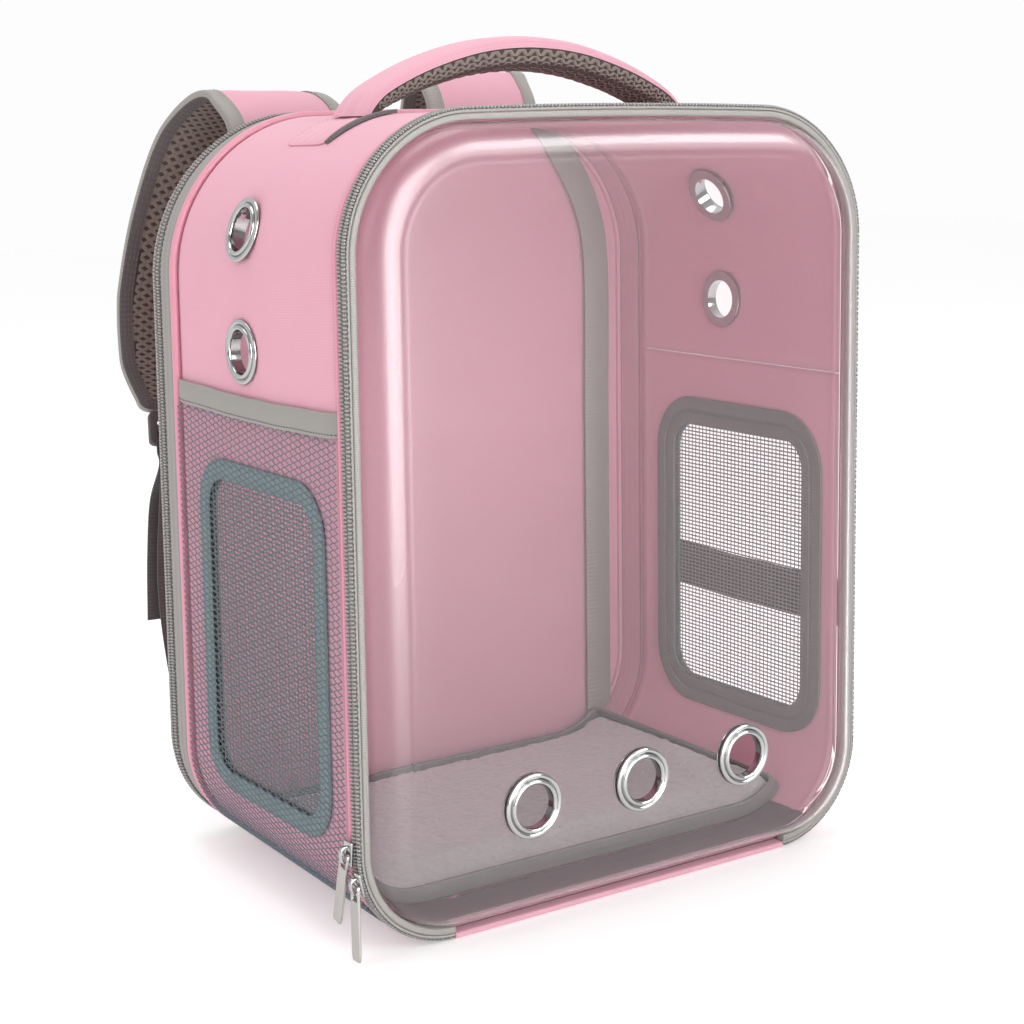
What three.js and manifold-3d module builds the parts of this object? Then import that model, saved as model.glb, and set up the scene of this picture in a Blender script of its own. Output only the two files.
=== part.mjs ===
// Pet carrier backpack: a soft rounded box with a clear domed door, side vents, handle and straps.
// Millimetres. X runs across the front, Y from front to back, Z up, with the origin under the base.
import * as THREE from 'three';
import { mergeVertices } from 'three/addons/utils/BufferGeometryUtils.js';
import Module from 'manifold-3d';

const wasm = await Module();
wasm.setup();

// Driving dimensions of the body
const WIDTH = 332;
const HEIGHT = 420;
const FRONT_RIM = -110;
const BACK_RIM = 110;
const TOP_RADIUS = { front: 71, back: 92 };
const BOTTOM_RADIUS = { front: 56, back: 65 };
const CROWN = 4; // how far the top falls from its middle to its sides
const GAP = 0.3; // between pieces that touch
const CORNER_TURN = 0.994; // the share of a lower corner that a sewn edge takes, clear of the base

// Depths of the sewn rings, from the door to the back
const DOOR_FACE = -112.5;
const DOOR_BACK = -107.4;
const FRONT_ZIP = { from: -112.3, to: -103.6, coil: -108.4 };
const FRONT_PIPING = { y: -101.7, radius: 1.6 };
const PANEL = { from: -99.8, to: 79.6 };
const BACK_PIPING = { y: 82.4, radius: 2.5 };
const BACK_ZIP = { from: 85.2, to: 109, coil: 102.5 };
const BACK_PANEL = { from: 104, to: 109 };

// Insets from the body's outline
const FABRIC = { out: 3, in: 6 };
const POCKET = { out: 0.3, in: 1.5 };
const BORDER = { out: 1.7, in: 2.7 };
const NET = { out: 4, in: 4.8 };
const LINING = { out: 6.3, in: 7.5 };
const ZIP_TAPE = { out: 2.2, in: 3.7 };
const COIL = { top: 0.8, foot: 2.3, crest: 1.8 };
const BACK_EDGE = 4.5; // the back panel's edge, inside the zip
const BINDING = { out: 4, in: 7.5 };
const HINGE_OUT = 0.5; // the cloth along the base at the foot of the door and of the back
const BASE = { out: 0, in: 5.7 };

// Heights on the sides
const SIDE_SEAM = 268;
const POCKET_BINDING = { from: 261, to: 274 };
const SIDE_BAND = { from: 118, to: 146 };
const SIDE_HEIGHTS = [110, 190, 268, 300]; // stations up the straight of a side
const FLANK_HEIGHTS = [90, 150, 210]; // and below the side seam

// Mesh window in each side: its opening in the fabric
const VENT = { front: -79, back: 53, low: 54, high: 231, radius: 24, depth: 60 };
const VENT_LAP = 7; // the border's lap over the fabric and over the net
const LINING_LAP = 15; // the wider lap of the lining inside

// Eyelets
const EYELET = { hole: 11.8, barrel: 12.7, flange: 17.2, dome: 2.4, slope: 2.2, rim: 1, washer: 1.2 };
const EYELET_HOLE = { radius: 13.1, depth: 24 };
const EYELET_SIDES = 18;
const EYELET_CLEAR = 0.4;
const EYELET_SAG = 2.2; // how far a flat flange stands off the rounded shoulder
const SIDE_EYELETS = [
  { name: 'left_upper_eyelet', side: -1, z: 360 },
  { name: 'left_lower_eyelet', side: -1, z: 296 },
  { name: 'right_upper_eyelet', side: 1, z: 371 },
  { name: 'right_lower_eyelet', side: 1, z: 305 },
];
const SIDE_EYELET_Y = 1;
const DOOR_EYELETS = [
  { name: 'left_door_eyelet', x: -70 },
  { name: 'middle_door_eyelet', x: 0 },
  { name: 'right_door_eyelet', x: 70 },
];
const DOOR_EYELET_Z = 66;

// Moulded window, rows from the edge of its flange to its flat face: inset and depth of each skin
const WINDOW_OUTSIDE = [
  { inset: 4.1, y: -107.1 },
  { inset: 8.0, y: -107.1 },
  { inset: 8.3, y: -112 },
  { inset: 9.5, y: -116 },
  { inset: 12.5, y: -119.6 },
  { inset: 17, y: -122 },
  { inset: 24, y: -123.4 },
  { inset: 32, y: -124 },
  { inset: 46, y: -124.5 },
];
const WINDOW_INSIDE = [
  { inset: 4.1, y: -105.7 },
  { inset: 9.3, y: -105.7 },
  { inset: 9.6, y: -111.8 },
  { inset: 10.8, y: -115.3 },
  { inset: 13.5, y: -118.5 },
  { inset: 17.6, y: -120.7 },
  { inset: 24.3, y: -122.1 },
  { inset: 32, y: -122.7 },
  { inset: 46, y: -123.2 },
];
const WINDOW_FACE = -124.5;
const WINDOW_WALL = 1.3;

// Seam tape on the inside of the back panel, up its right side
const SEAM_TAPE = { out: 16, in: 35, from: 102.6, to: 103.7, low: 75, turn: 0.68 };

// Mat on the floor, which turns up into the rounded corners
const MAT = { from: -72, to: 98, out: 6.4, in: 19, turn: 0.55, steps: 5 };
const MAT_EDGE = { wide: 3.5, out: 6.4, in: 18, turn: 0.5, slack: 0.005 };

// Carrying handle, rows from one end to the middle: the line between cover and pad
const HANDLE = { y: -14, width: 36, tab: 50, steps: 28 };
const HANDLE_LINE = [
  { x: -104, z: 399, cover: 4, pad: 3 },
  { x: -101, z: 412, cover: 5.5, pad: 4.5 },
  { x: -93, z: 421.5, cover: 7, pad: 6 },
  { x: -77, z: 430.3, cover: 8, pad: 7.5 },
  { x: -56, z: 438.4, cover: 8.8, pad: 8.6 },
  { x: -30, z: 445, cover: 9.3, pad: 9.3 },
  { x: 0, z: 447.5, cover: 9.5, pad: 9.6 },
];
const HANDLE_TAB = { out: 0.3, in: 2.7, from: 0.6, to: 0.98, steps: 6 };

// Shoulder straps, rows from the back panel over the crest to the tip
const LEFT_STRAP = [
  { x: -66, y: 114.6, z: 366, width: 80 },
  { x: -67, y: 115.5, z: 392, width: 80 },
  { x: -70, y: 126, z: 418, width: 80 },
  { x: -75, y: 147, z: 427, width: 80 },
  { x: -86, y: 176, z: 406, width: 80 },
  { x: -99, y: 193, z: 356, width: 80 },
  { x: -111, y: 194, z: 303, width: 78 },
  { x: -120, y: 182, z: 264, width: 68 },
  { x: -127, y: 165, z: 240, width: 44 },
];
const RIGHT_STRAP = [
  { x: 66, y: 114.6, z: 366, width: 80 },
  { x: 67, y: 115.8, z: 396, width: 80 },
  { x: 69, y: 127, z: 427, width: 80 },
  { x: 74, y: 150, z: 439, width: 80 },
  { x: 85, y: 181, z: 416, width: 80 },
  { x: 98, y: 197, z: 362, width: 80 },
  { x: 111, y: 197, z: 305, width: 78 },
  { x: 120, y: 184, z: 265, width: 68 },
  { x: 127, y: 166, z: 240, width: 44 },
];
const STRAP_STEPS = 24;
const STRAP_COVER = { low: 0.2, high: 4.7 };
const STRAP_PAD = { low: -4.3, high: -0.1 };
const STRAP_BINDING = { low: -4.6, high: 5, wide: 4 };
const ADJUSTER = { width: 36, length: 22, thick: 4.4, bar: 5 };
const WEBBING = { width: 25, thick: 1.6, spread: 1.5, lead: 8 };

// Webbing on the left, mirrored for the right: rows after the adjuster
const WEBBING_ROUTE = [
  { x: -133, y: 155, z: 185 },
  { x: -134, y: 159, z: 140 },
  { x: -133, y: 153, z: 96 },
  { x: -132, y: 143, z: 68 },
  { x: -131, y: 129, z: 57 },
  { x: -130, y: 116, z: 62 },
  { x: -130, y: 110.6, z: 80 },
  { x: -130, y: 110.3, z: 98 },
];
const TAIL_ROUTE = [
  { x: -134.5, y: 164, z: 190 },
  { x: -136, y: 168, z: 155 },
  { x: -137, y: 169, z: 116 },
];

// Zip sliders on the lower left of the door, and their hanging pulls
const SLIDERS = [
  { name: 'upper', y: -104.9, z: 56, lean: 14 },
  { name: 'lower', y: -111, z: 42, lean: 0 },
];
const SLIDER = { length: 13, width: 8, low: 0.8, top: 2.3 };
const BRIDGE = { length: 9, width: 2.2, thick: 1.4, clear: 3.1, chamfer: 1 };
const PULL = { length: 39, width: 7.6, thick: 1.5, bar: 1.6, slot: 6.4, slotWidth: 5.2, chamfer: 1.8 };

const FINISH = {
  pink: { color: 0xe3a6b6, roughness: 0.8, metalness: 0 },
  piping: { color: 0xe08fa5, roughness: 0.7, metalness: 0 },
  grey: { color: 0x9f9b97, roughness: 0.8, metalness: 0 },
  zip: { color: 0x85827f, roughness: 0.6, metalness: 0 },
  webbing: { color: 0x57524f, roughness: 0.85, metalness: 0 },
  airMesh: { color: 0x5c534c, roughness: 0.95, metalness: 0 },
  pocket: { color: 0x8c7b86, roughness: 0.9, metalness: 0 },
  border: { color: 0x5a6e73, roughness: 0.85, metalness: 0 },
  net: { color: 0xe6e4e4, roughness: 0.8, metalness: 0 },
  clear: { color: 0xe9d5db, roughness: 0.08, metalness: 0, transparent: true, opacity: 0.35 },
  chrome: { color: 0xd4d4d6, roughness: 0.12, metalness: 1 },
  plastic: { color: 0x4b4848, roughness: 0.5, metalness: 0 },
  plush: { color: 0xcfc4c6, roughness: 1, metalness: 0 },
};

const backpack = new THREE.Group();

function add(name, geometry, finish) {
  const mesh = new THREE.Mesh(geometry, new THREE.MeshStandardMaterial(finish));
  mesh.name = name;
  backpack.add(mesh);
}

// A closed surface over loops of points: capped at both ends, or joined round into a ring.
// Diagonals match on the two sides of a loop, so that facing layers stay apart
function skin(loops, ring = false) {
  const size = loops[0].length;
  const index = [];
  const steps = ring ? loops.length : loops.length - 1;
  for (let i = 0; i < steps; i += 1) {
    const next = ((i + 1) % loops.length) * size;
    for (let j = 0; j < size; j += 1) {
      const k = (j + 1) % size;
      const [a, b, c, d] = [i * size + j, i * size + k, next + k, next + j];
      index.push(...(j < size / 2 ? [a, b, c, a, c, d] : [a, b, d, b, c, d]));
    }
  }
  if (!ring) {
    index.push(...cap(loops[0], 0, -1));
    index.push(...cap(loops[loops.length - 1], (loops.length - 1) * size, 1));
  }
  const geometry = new THREE.BufferGeometry().setFromPoints(loops.flat());
  geometry.setIndex(index);
  return outward(geometry);
}

// Triangles that fill one loop, turned to the given side of it
function cap(loop, first, side) {
  const normal = new THREE.Vector3();
  loop.forEach((p, i) => normal.add(p.clone().cross(loop[(i + 1) % loop.length])));
  const size = normal.toArray().map(Math.abs);
  const drop = size.indexOf(Math.max(...size));
  const flat = loop.map((p) => new THREE.Vector2(...p.toArray().filter((_, axis) => axis !== drop)));
  return THREE.ShapeUtils.triangulateShape(flat, []).flatMap(([a, b, c]) => {
    const ab = loop[b].clone().sub(loop[a]);
    const ac = loop[c].clone().sub(loop[a]);
    const turned = ab.cross(ac).dot(normal) * side < 0;
    return turned ? [first + a, first + c, first + b] : [first + a, first + b, first + c];
  });
}

// The same surface with its faces pointing out of the solid
function outward(geometry) {
  const at = geometry.attributes.position;
  const index = geometry.index.array;
  const corner = [0, 1, 2].map(() => new THREE.Vector3());
  let volume = 0;
  for (let i = 0; i < index.length; i += 3) {
    corner.forEach((v, k) => v.fromBufferAttribute(at, index[i + k]));
    volume += corner[0].dot(corner[1].cross(corner[2]));
  }
  if (volume < 0) {
    for (let i = 0; i < index.length; i += 3) {
      [index[i + 1], index[i + 2]] = [index[i + 2], index[i + 1]];
    }
  }
  return geometry;
}

// Joins and cuts of closed solids
function solid(geometry) {
  const bare = geometry.clone();
  bare.deleteAttribute('normal');
  bare.deleteAttribute('uv');
  const merged = mergeVertices(bare, 1e-4);
  const vertProperties = new Float32Array(merged.attributes.position.array);
  const triVerts = new Uint32Array(merged.index.array);
  return new wasm.Manifold(new wasm.Mesh({ numProp: 3, vertProperties, triVerts }));
}

function fromSolid(made) {
  const { vertProperties, triVerts } = made.getMesh();
  const geometry = new THREE.BufferGeometry();
  geometry.setAttribute('position', new THREE.BufferAttribute(vertProperties, 3));
  geometry.setIndex(new THREE.BufferAttribute(triVerts, 1));
  return geometry;
}

function cut(geometry, cutters) {
  return fromSolid(cutters.reduce((made, cutter) => made.subtract(solid(cutter)), solid(geometry)));
}

function meet(geometry, other) {
  return fromSolid(solid(geometry).intersect(solid(other)));
}

function join(geometries) {
  return fromSolid(geometries.map(solid).reduce((made, next) => made.add(next)));
}

// Stations round the body: each gives a point for any depth and any inset from the outline
function crowned(x, y, z) {
  const rise = Math.max(0, (2 * z) / HEIGHT - 1);
  return new THREE.Vector3(x, y, z - CROWN * rise * ((2 * x) / WIDTH) ** 2);
}

function radiusAt(radius, y) {
  return THREE.MathUtils.mapLinear(y, FRONT_RIM, BACK_RIM, radius.front, radius.back);
}

function onSide(side, z) {
  return (y, inset) => crowned(side * (WIDTH / 2 - inset), y, z);
}

function onTop(share) {
  return (y, inset) => crowned(share * (WIDTH / 2 - radiusAt(TOP_RADIUS, y)), y, HEIGHT - inset);
}

function onBase(share) {
  return (y, inset) => crowned(share * (WIDTH / 2 - radiusAt(BOTTOM_RADIUS, y)), y, inset);
}

// A corner's turn is 0 at the side and 1 at the top or the base
function onCorner(side, radius, turn) {
  const angle = (turn * Math.PI) / 2;
  return (y, inset) => {
    const r = radiusAt(radius, y);
    const rise = r - (r - inset) * Math.sin(angle);
    const x = side * (WIDTH / 2 - r + (r - inset) * Math.cos(angle));
    return crowned(x, y, radius === TOP_RADIUS ? HEIGHT - rise : rise);
  };
}

function spaced(from, to, count) {
  return Array.from({ length: count + 1 }, (_, i) => from + ((to - from) * i) / count);
}

function corner(side, radius, from, to, count = 8) {
  return spaced(from, to, count).map((turn) => onCorner(side, radius, turn));
}

function side(which, heights) {
  return heights.map((z) => onSide(which, z));
}

// Up the left side through rising heights, over the top and down the right side
function archStations(heights) {
  return [
    ...side(-1, heights),
    ...corner(-1, TOP_RADIUS, 0, 1),
    ...[-0.5, 0, 0.5].map(onTop),
    ...corner(1, TOP_RADIUS, 1, 0),
    ...side(1, [...heights].reverse()),
  ];
}

// The arch carried on round the two lower corners
function horseshoeStations(turn) {
  return [
    ...corner(-1, BOTTOM_RADIUS, turn, 0),
    ...archStations(SIDE_HEIGHTS),
    ...corner(1, BOTTOM_RADIUS, 0, turn),
  ];
}

function ringStations() {
  return [...horseshoeStations(1), ...[0.5, 0, -0.5].map(onBase)];
}

function baseStations(share) {
  return spaced(-share, share, 4).map(onBase);
}

// From the base seam up one side
function flankStations(which, heights) {
  return [...corner(which, BOTTOM_RADIUS, CORNER_TURN, 0), ...side(which, heights)];
}

// A section of insets and depths carried along stations
function sweep(stations, section, ring = false) {
  return skin(stations.map((place) => section.map(([inset, y]) => place(y, inset))), ring);
}

function strip(stations, wall, depth, ring = false) {
  const section = [
    [wall.out, depth.from],
    [wall.in, depth.from],
    [wall.in, depth.to],
    [wall.out, depth.to],
  ];
  return sweep(stations, section, ring);
}

// A solid of the body's whole outline between two depths
function outlineBlock(inset, depth) {
  const stations = ringStations();
  return skin([depth.from, depth.to].map((y) => stations.map((place) => place(y, inset))));
}

// A rounded opening in a side, as a block across the body's depth and height
function roundedShape(grow) {
  const shape = new THREE.Shape();
  const radius = VENT.radius + grow;
  const [y0, y1] = [VENT.front - grow, VENT.back + grow];
  const [z0, z1] = [VENT.low - grow, VENT.high + grow];
  shape.moveTo(y0 + radius, z0);
  shape.absarc(y1 - radius, z0 + radius, radius, -Math.PI / 2, 0);
  shape.absarc(y1 - radius, z1 - radius, radius, 0, Math.PI / 2);
  shape.absarc(y0 + radius, z1 - radius, radius, Math.PI / 2, Math.PI);
  shape.absarc(y0 + radius, z0 + radius, radius, Math.PI, Math.PI * 1.5);
  return shape;
}

function ventBlock(which, grow, hole = null) {
  const shape = roundedShape(grow);
  if (hole !== null) shape.holes.push(roundedShape(hole));
  const { depth } = VENT;
  const block = new THREE.ExtrudeGeometry(shape, { depth, bevelEnabled: false, curveSegments: 5 });
  const across = new THREE.Matrix4().makeBasis(
    new THREE.Vector3(0, 1, 0),
    new THREE.Vector3(0, 0, 1),
    new THREE.Vector3(1, 0, 0),
  );
  block.applyMatrix4(across);
  return block.translate(which * (WIDTH / 2 - depth / 3) - depth / 2, 0, 0);
}

// A place on a side at a height: the point on its outside and the way it faces
function sidePlace(which, y, z, inset) {
  const upper = z > HEIGHT / 2;
  const radii = upper ? TOP_RADIUS : BOTTOM_RADIUS;
  const r = radiusAt(radii, y);
  const beyond = Math.max(0, upper ? z - HEIGHT + r : r - z);
  const turn = Math.asin(beyond / (r - inset)) / (Math.PI / 2);
  const near = (dy, dturn) => onCorner(which, radii, turn + dturn)(y + dy, inset);
  const slope = near(1, 0).sub(near(-1, 0));
  const bend = near(0, 0.01).sub(near(0, -0.01));
  const out = slope.cross(bend).normalize();
  if (out.x * which < 0) out.negate();
  const point = turn > 0 ? near(0, 0) : onSide(which, z)(y, inset);
  return { point, out, curved: turn > 0 };
}

// Moves a geometry made round +Y so that it sits on a point and faces out
function seat(geometry, point, out) {
  const turn = new THREE.Quaternion().setFromUnitVectors(new THREE.Vector3(0, 1, 0), out);
  return geometry.applyQuaternion(turn).translate(...point.toArray());
}

function eyelet(point, out, wall) {
  const low = -wall - EYELET_CLEAR;
  const high = EYELET_CLEAR;
  const profile = [
    [EYELET.hole, low - EYELET.washer],
    [EYELET.flange, low - EYELET.washer],
    [EYELET.flange, low],
    [EYELET.barrel, low],
    [EYELET.barrel, high],
    [EYELET.flange, high],
    [EYELET.flange - EYELET.slope, high + EYELET.dome],
    [EYELET.hole, high + EYELET.rim],
    [EYELET.hole, low - EYELET.washer],
  ].map(([r, h]) => new THREE.Vector2(r, h));
  return seat(new THREE.LatheGeometry(profile, EYELET_SIDES), point, out);
}

function eyeletHole(point, out) {
  const { radius, depth } = EYELET_HOLE;
  return seat(new THREE.CylinderGeometry(radius, radius, depth, EYELET_SIDES), point, out);
}

// Body panels, with holes for the side eyelets
const sideEyelets = SIDE_EYELETS.map(({ name, side: which, z }) => {
  const place = sidePlace(which, SIDE_EYELET_Y, z, FABRIC.out);
  return { name, ...place, wall: FABRIC.in - FABRIC.out + (place.curved ? EYELET_SAG : 0) };
});
const sideHoles = sideEyelets.map(({ point, out }) => eyeletHole(point, out));
const topStations = archStations([SIDE_SEAM + GAP, SIDE_HEIGHTS.at(-1)]);
add('top_panel', cut(strip(topStations, FABRIC, PANEL), sideHoles), FINISH.pink);

[['left', -1], ['right', 1]].forEach(([name, which]) => {
  const flank = flankStations(which, [...FLANK_HEIGHTS, SIDE_SEAM]);
  const wall = strip(flank, FABRIC, PANEL);
  add(`${name}_side_panel`, cut(wall, [ventBlock(which, 0)]), FINISH.pink);
  const vent = (layer) => strip(flank, layer, PANEL);
  add(`${name}_window_border`, meet(vent(BORDER), ventBlock(which, VENT_LAP, -VENT_LAP)), FINISH.border);
  add(`${name}_window_net`, meet(vent(NET), ventBlock(which, -GAP)), FINISH.net);
  add(`${name}_window_lining`, meet(vent(LINING), ventBlock(which, LINING_LAP, -VENT_LAP)), FINISH.grey);
});
add('base_panel', strip(baseStations(1), BASE, PANEL), FINISH.pink);
add('back_panel', outlineBlock(BACK_EDGE, BACK_PANEL), FINISH.pink);
sideEyelets.forEach(({ name, point, out, wall }) => add(name, eyelet(point, out, wall), FINISH.chrome));

// Left pocket: a mesh sheet with a bound top edge. Right side: one band of webbing
const pocketStations = flankStations(-1, [...FLANK_HEIGHTS, POCKET_BINDING.from - GAP]);
add('left_pocket_mesh', strip(pocketStations, POCKET, PANEL), FINISH.pocket);
const bindingHeights = [POCKET_BINDING.from, POCKET_BINDING.to];
const bindingWall = { out: POCKET.out, in: FABRIC.out - GAP };
add('left_pocket_binding', strip(side(-1, bindingHeights), bindingWall, PANEL), FINISH.grey);
add('right_side_band', strip(side(1, [SIDE_BAND.from, SIDE_BAND.to]), POCKET, PANEL), FINISH.webbing);

// Piping rings
function piping({ y, radius }) {
  const section = spaced(0, 2 * Math.PI, 6).slice(1).map((angle) => [
    FABRIC.out - radius * Math.cos(angle),
    y + radius * Math.sin(angle),
  ]);
  return sweep(ringStations(), section, true);
}
add('front_piping', piping(FRONT_PIPING), FINISH.piping);
add('back_piping', piping(BACK_PIPING), FINISH.piping);

// Zips: a tape with a raised coil, open along the base
function zip({ from, to, coil }, inner) {
  const section = [
    [ZIP_TAPE.out, from],
    [ZIP_TAPE.out, coil - COIL.foot],
    [COIL.top, coil - COIL.crest],
    [COIL.top, coil + COIL.crest],
    [ZIP_TAPE.out, coil + COIL.foot],
    [ZIP_TAPE.out, to],
    [inner, to],
    [inner, from],
  ];
  return sweep(horseshoeStations(CORNER_TURN), section);
}
add('front_zip', zip(FRONT_ZIP, ZIP_TAPE.in), FINISH.zip);
add('back_zip', zip(BACK_ZIP, BACK_EDGE - GAP), FINISH.zip);

// Door: bound edge, cloth hinge along the base and the moulded window
const doorEdge = { from: DOOR_FACE, to: DOOR_BACK };
add('door_binding', strip(horseshoeStations(CORNER_TURN), BINDING, doorEdge), FINISH.grey);
const hingeSection = [
  [HINGE_OUT, DOOR_FACE],
  [BINDING.in, DOOR_FACE],
  [BINDING.in, DOOR_BACK],
  [ZIP_TAPE.in, DOOR_BACK],
  [ZIP_TAPE.in, FRONT_ZIP.to],
  [HINGE_OUT, FRONT_ZIP.to],
];
add('door_hinge', sweep(baseStations(1), hingeSection), FINISH.pink);
const backHinge = { out: HINGE_OUT, in: BACK_EDGE - GAP };
add('back_hinge', strip(baseStations(1), backHinge, BACK_ZIP), FINISH.pink);

const windowRows = [...WINDOW_OUTSIDE].reverse().concat(WINDOW_INSIDE);
const tray = skin(windowRows.map(({ inset, y }) => ringStations().map((place) => place(y, inset))));
const forward = new THREE.Vector3(0, -1, 0);
const doorEyelets = DOOR_EYELETS.map(({ name, x }) => {
  return { name, point: new THREE.Vector3(x, WINDOW_FACE, DOOR_EYELET_Z) };
});
add('window', cut(tray, doorEyelets.map(({ point }) => eyeletHole(point, forward))), FINISH.clear);
doorEyelets.forEach(({ name, point }) => add(name, eyelet(point, forward, WINDOW_WALL), FINISH.chrome));

// Inside: seam tape on the back panel, and the mat with its bound edge
const tapeHeights = [SEAM_TAPE.low, ...SIDE_HEIGHTS].reverse();
const tapeStations = [...corner(1, TOP_RADIUS, SEAM_TAPE.turn, 0), ...side(1, tapeHeights)];
add('back_seam_tape', strip(tapeStations, SEAM_TAPE, SEAM_TAPE), FINISH.grey);

function floorStations(turn) {
  return [
    ...corner(-1, BOTTOM_RADIUS, turn, 1, MAT.steps),
    ...[-0.5, 0, 0.5].map(onBase),
    ...corner(1, BOTTOM_RADIUS, 1, turn, MAT.steps),
  ];
}
add('mat', strip(floorStations(MAT.turn), MAT, MAT), FINISH.plush);
const matEdge = strip(floorStations(MAT_EDGE.turn), MAT_EDGE, {
  from: MAT.from - MAT_EDGE.wide,
  to: MAT.to + MAT_EDGE.wide,
});
const matRoom = strip(floorStations(MAT.turn - MAT_EDGE.slack), { out: 0, in: 2 * MAT.in }, {
  from: MAT.from - GAP,
  to: MAT.to + GAP,
});
add('mat_binding', cut(matEdge, [matRoom]), FINISH.grey);

// A ribbon along a curve: a closed solid between two heights above its line
function ribbonFrame(curve, across, t) {
  const ahead = curve.getTangent(t);
  const beside = across.clone().addScaledVector(ahead, -across.dot(ahead)).normalize();
  return { at: curve.getPoint(t), ahead, beside, up: beside.clone().cross(ahead) };
}

function offset({ at, beside, up }, aside, height) {
  return at.clone().addScaledVector(beside, aside).addScaledVector(up, height);
}

function ribbon(curve, across, times, widthAt, lowAt, highAt) {
  return skin(times.map((t) => {
    const frame = ribbonFrame(curve, across, t);
    const half = widthAt(t) / 2;
    return [
      offset(frame, -half, lowAt(t)),
      offset(frame, half, lowAt(t)),
      offset(frame, half, highAt(t)),
      offset(frame, -half, highAt(t)),
    ];
  }));
}

// Reads a column of a table of rows at any place along it
function along(rows, column) {
  return (t) => {
    const place = t * (rows.length - 1);
    const i = Math.min(Math.floor(place), rows.length - 2);
    return THREE.MathUtils.lerp(rows[i][column], rows[i + 1][column], place - i);
  };
}

function curveThrough(points) {
  return new THREE.CatmullRomCurve3(points, false, 'centripetal');
}

// Carrying handle: sewn tabs on the shoulders, and an arch of cover over pad between them
const mirroredLine = HANDLE_LINE.slice(0, -1).reverse().map((row) => ({ ...row, x: -row.x }));
const handleLine = [...HANDLE_LINE, ...mirroredLine];
const handleCurve = curveThrough(handleLine.map(({ x, z }) => new THREE.Vector3(x, HANDLE.y, z)));
const handleTimes = spaced(0, 1, HANDLE.steps);
const shoulders = outlineBlock(HANDLE_TAB.out - 2 * GAP, PANEL);
const coverAt = along(handleLine, 'cover');
const padAt = along(handleLine, 'pad');
const handleLayers = [
  { name: 'handle_cover', low: () => GAP / 2, high: coverAt, finish: FINISH.pink },
  { name: 'handle_pad', low: (t) => -padAt(t), high: () => -GAP / 2, finish: FINISH.airMesh },
];
handleLayers.forEach(({ name, low, high, finish }) => {
  const layer = ribbon(handleCurve, forward, handleTimes, () => HANDLE.width, low, high);
  add(name, cut(layer, [shoulders]), finish);
});
[['left', -1], ['right', 1]].forEach(([name, which]) => {
  const stations = corner(which, TOP_RADIUS, HANDLE_TAB.from, HANDLE_TAB.to, HANDLE_TAB.steps);
  const depth = { from: HANDLE.y - HANDLE.tab / 2, to: HANDLE.y + HANDLE.tab / 2 };
  add(`${name}_handle_tab`, strip(stations, HANDLE_TAB, depth), FINISH.pink);
});

// Shoulder straps: cover over pad inside a bound edge, an adjuster, webbing and its loose tail
const sideways = new THREE.Vector3(1, 0, 0);

function strapBinding(curve, widthAt, layerTimes) {
  const lastInner = 1 - STRAP_BINDING.wide / curve.getLength();
  const times = [...layerTimes.slice(0, -1), 1];
  const rung = (t, hand) => {
    const outer = ribbonFrame(curve, sideways, t);
    const inner = ribbonFrame(curve, sideways, Math.min(t, lastInner));
    const outerSide = (hand * widthAt(t)) / 2;
    const innerSide = hand * (widthAt(Math.min(t, lastInner)) / 2 - STRAP_BINDING.wide);
    return [
      offset(outer, outerSide, STRAP_BINDING.high),
      offset(outer, outerSide, STRAP_BINDING.low),
      offset(inner, innerSide, STRAP_BINDING.low),
      offset(inner, innerSide, STRAP_BINDING.high),
    ];
  };
  const down = times.map((t) => rung(t, -1));
  const up = [...times].reverse().map((t) => rung(t, 1));
  return skin([...down, ...up]);
}

function adjusterPlate(frame) {
  const half = ADJUSTER.width / 2;
  const plate = new THREE.Shape();
  plate.moveTo(-half, 0).lineTo(half, 0).lineTo(half, ADJUSTER.length).lineTo(-half, ADJUSTER.length);
  const slotLength = (ADJUSTER.length - 3 * ADJUSTER.bar) / 2;
  [ADJUSTER.bar, 2 * ADJUSTER.bar + slotLength].forEach((low) => {
    const slot = new THREE.Path();
    const side = half - ADJUSTER.bar;
    slot.moveTo(-side, low).lineTo(side, low).lineTo(side, low + slotLength).lineTo(-side, low + slotLength);
    plate.holes.push(slot);
  });
  const block = new THREE.ExtrudeGeometry(plate, { depth: ADJUSTER.thick, bevelEnabled: false });
  block.translate(0, GAP, -ADJUSTER.thick / 2);
  const place = new THREE.Matrix4().makeBasis(frame.beside, frame.ahead, frame.up);
  return block.applyMatrix4(place).translate(...frame.at.toArray());
}

function webbing(tip, lift, route, which) {
  const first = offset(tip, 0, lift).addScaledVector(tip.ahead, ADJUSTER.length + 2 * GAP);
  const lead = first.clone().addScaledVector(tip.ahead, WEBBING.lead);
  const rest = route.map(({ x, y, z }) => new THREE.Vector3(which * -x, y, z));
  const curve = curveThrough([first, lead, ...rest]);
  const half = WEBBING.thick / 2;
  const times = spaced(0, 1, 3 * route.length);
  return ribbon(curve, sideways, times, () => WEBBING.width, () => -half, () => half);
}

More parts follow.
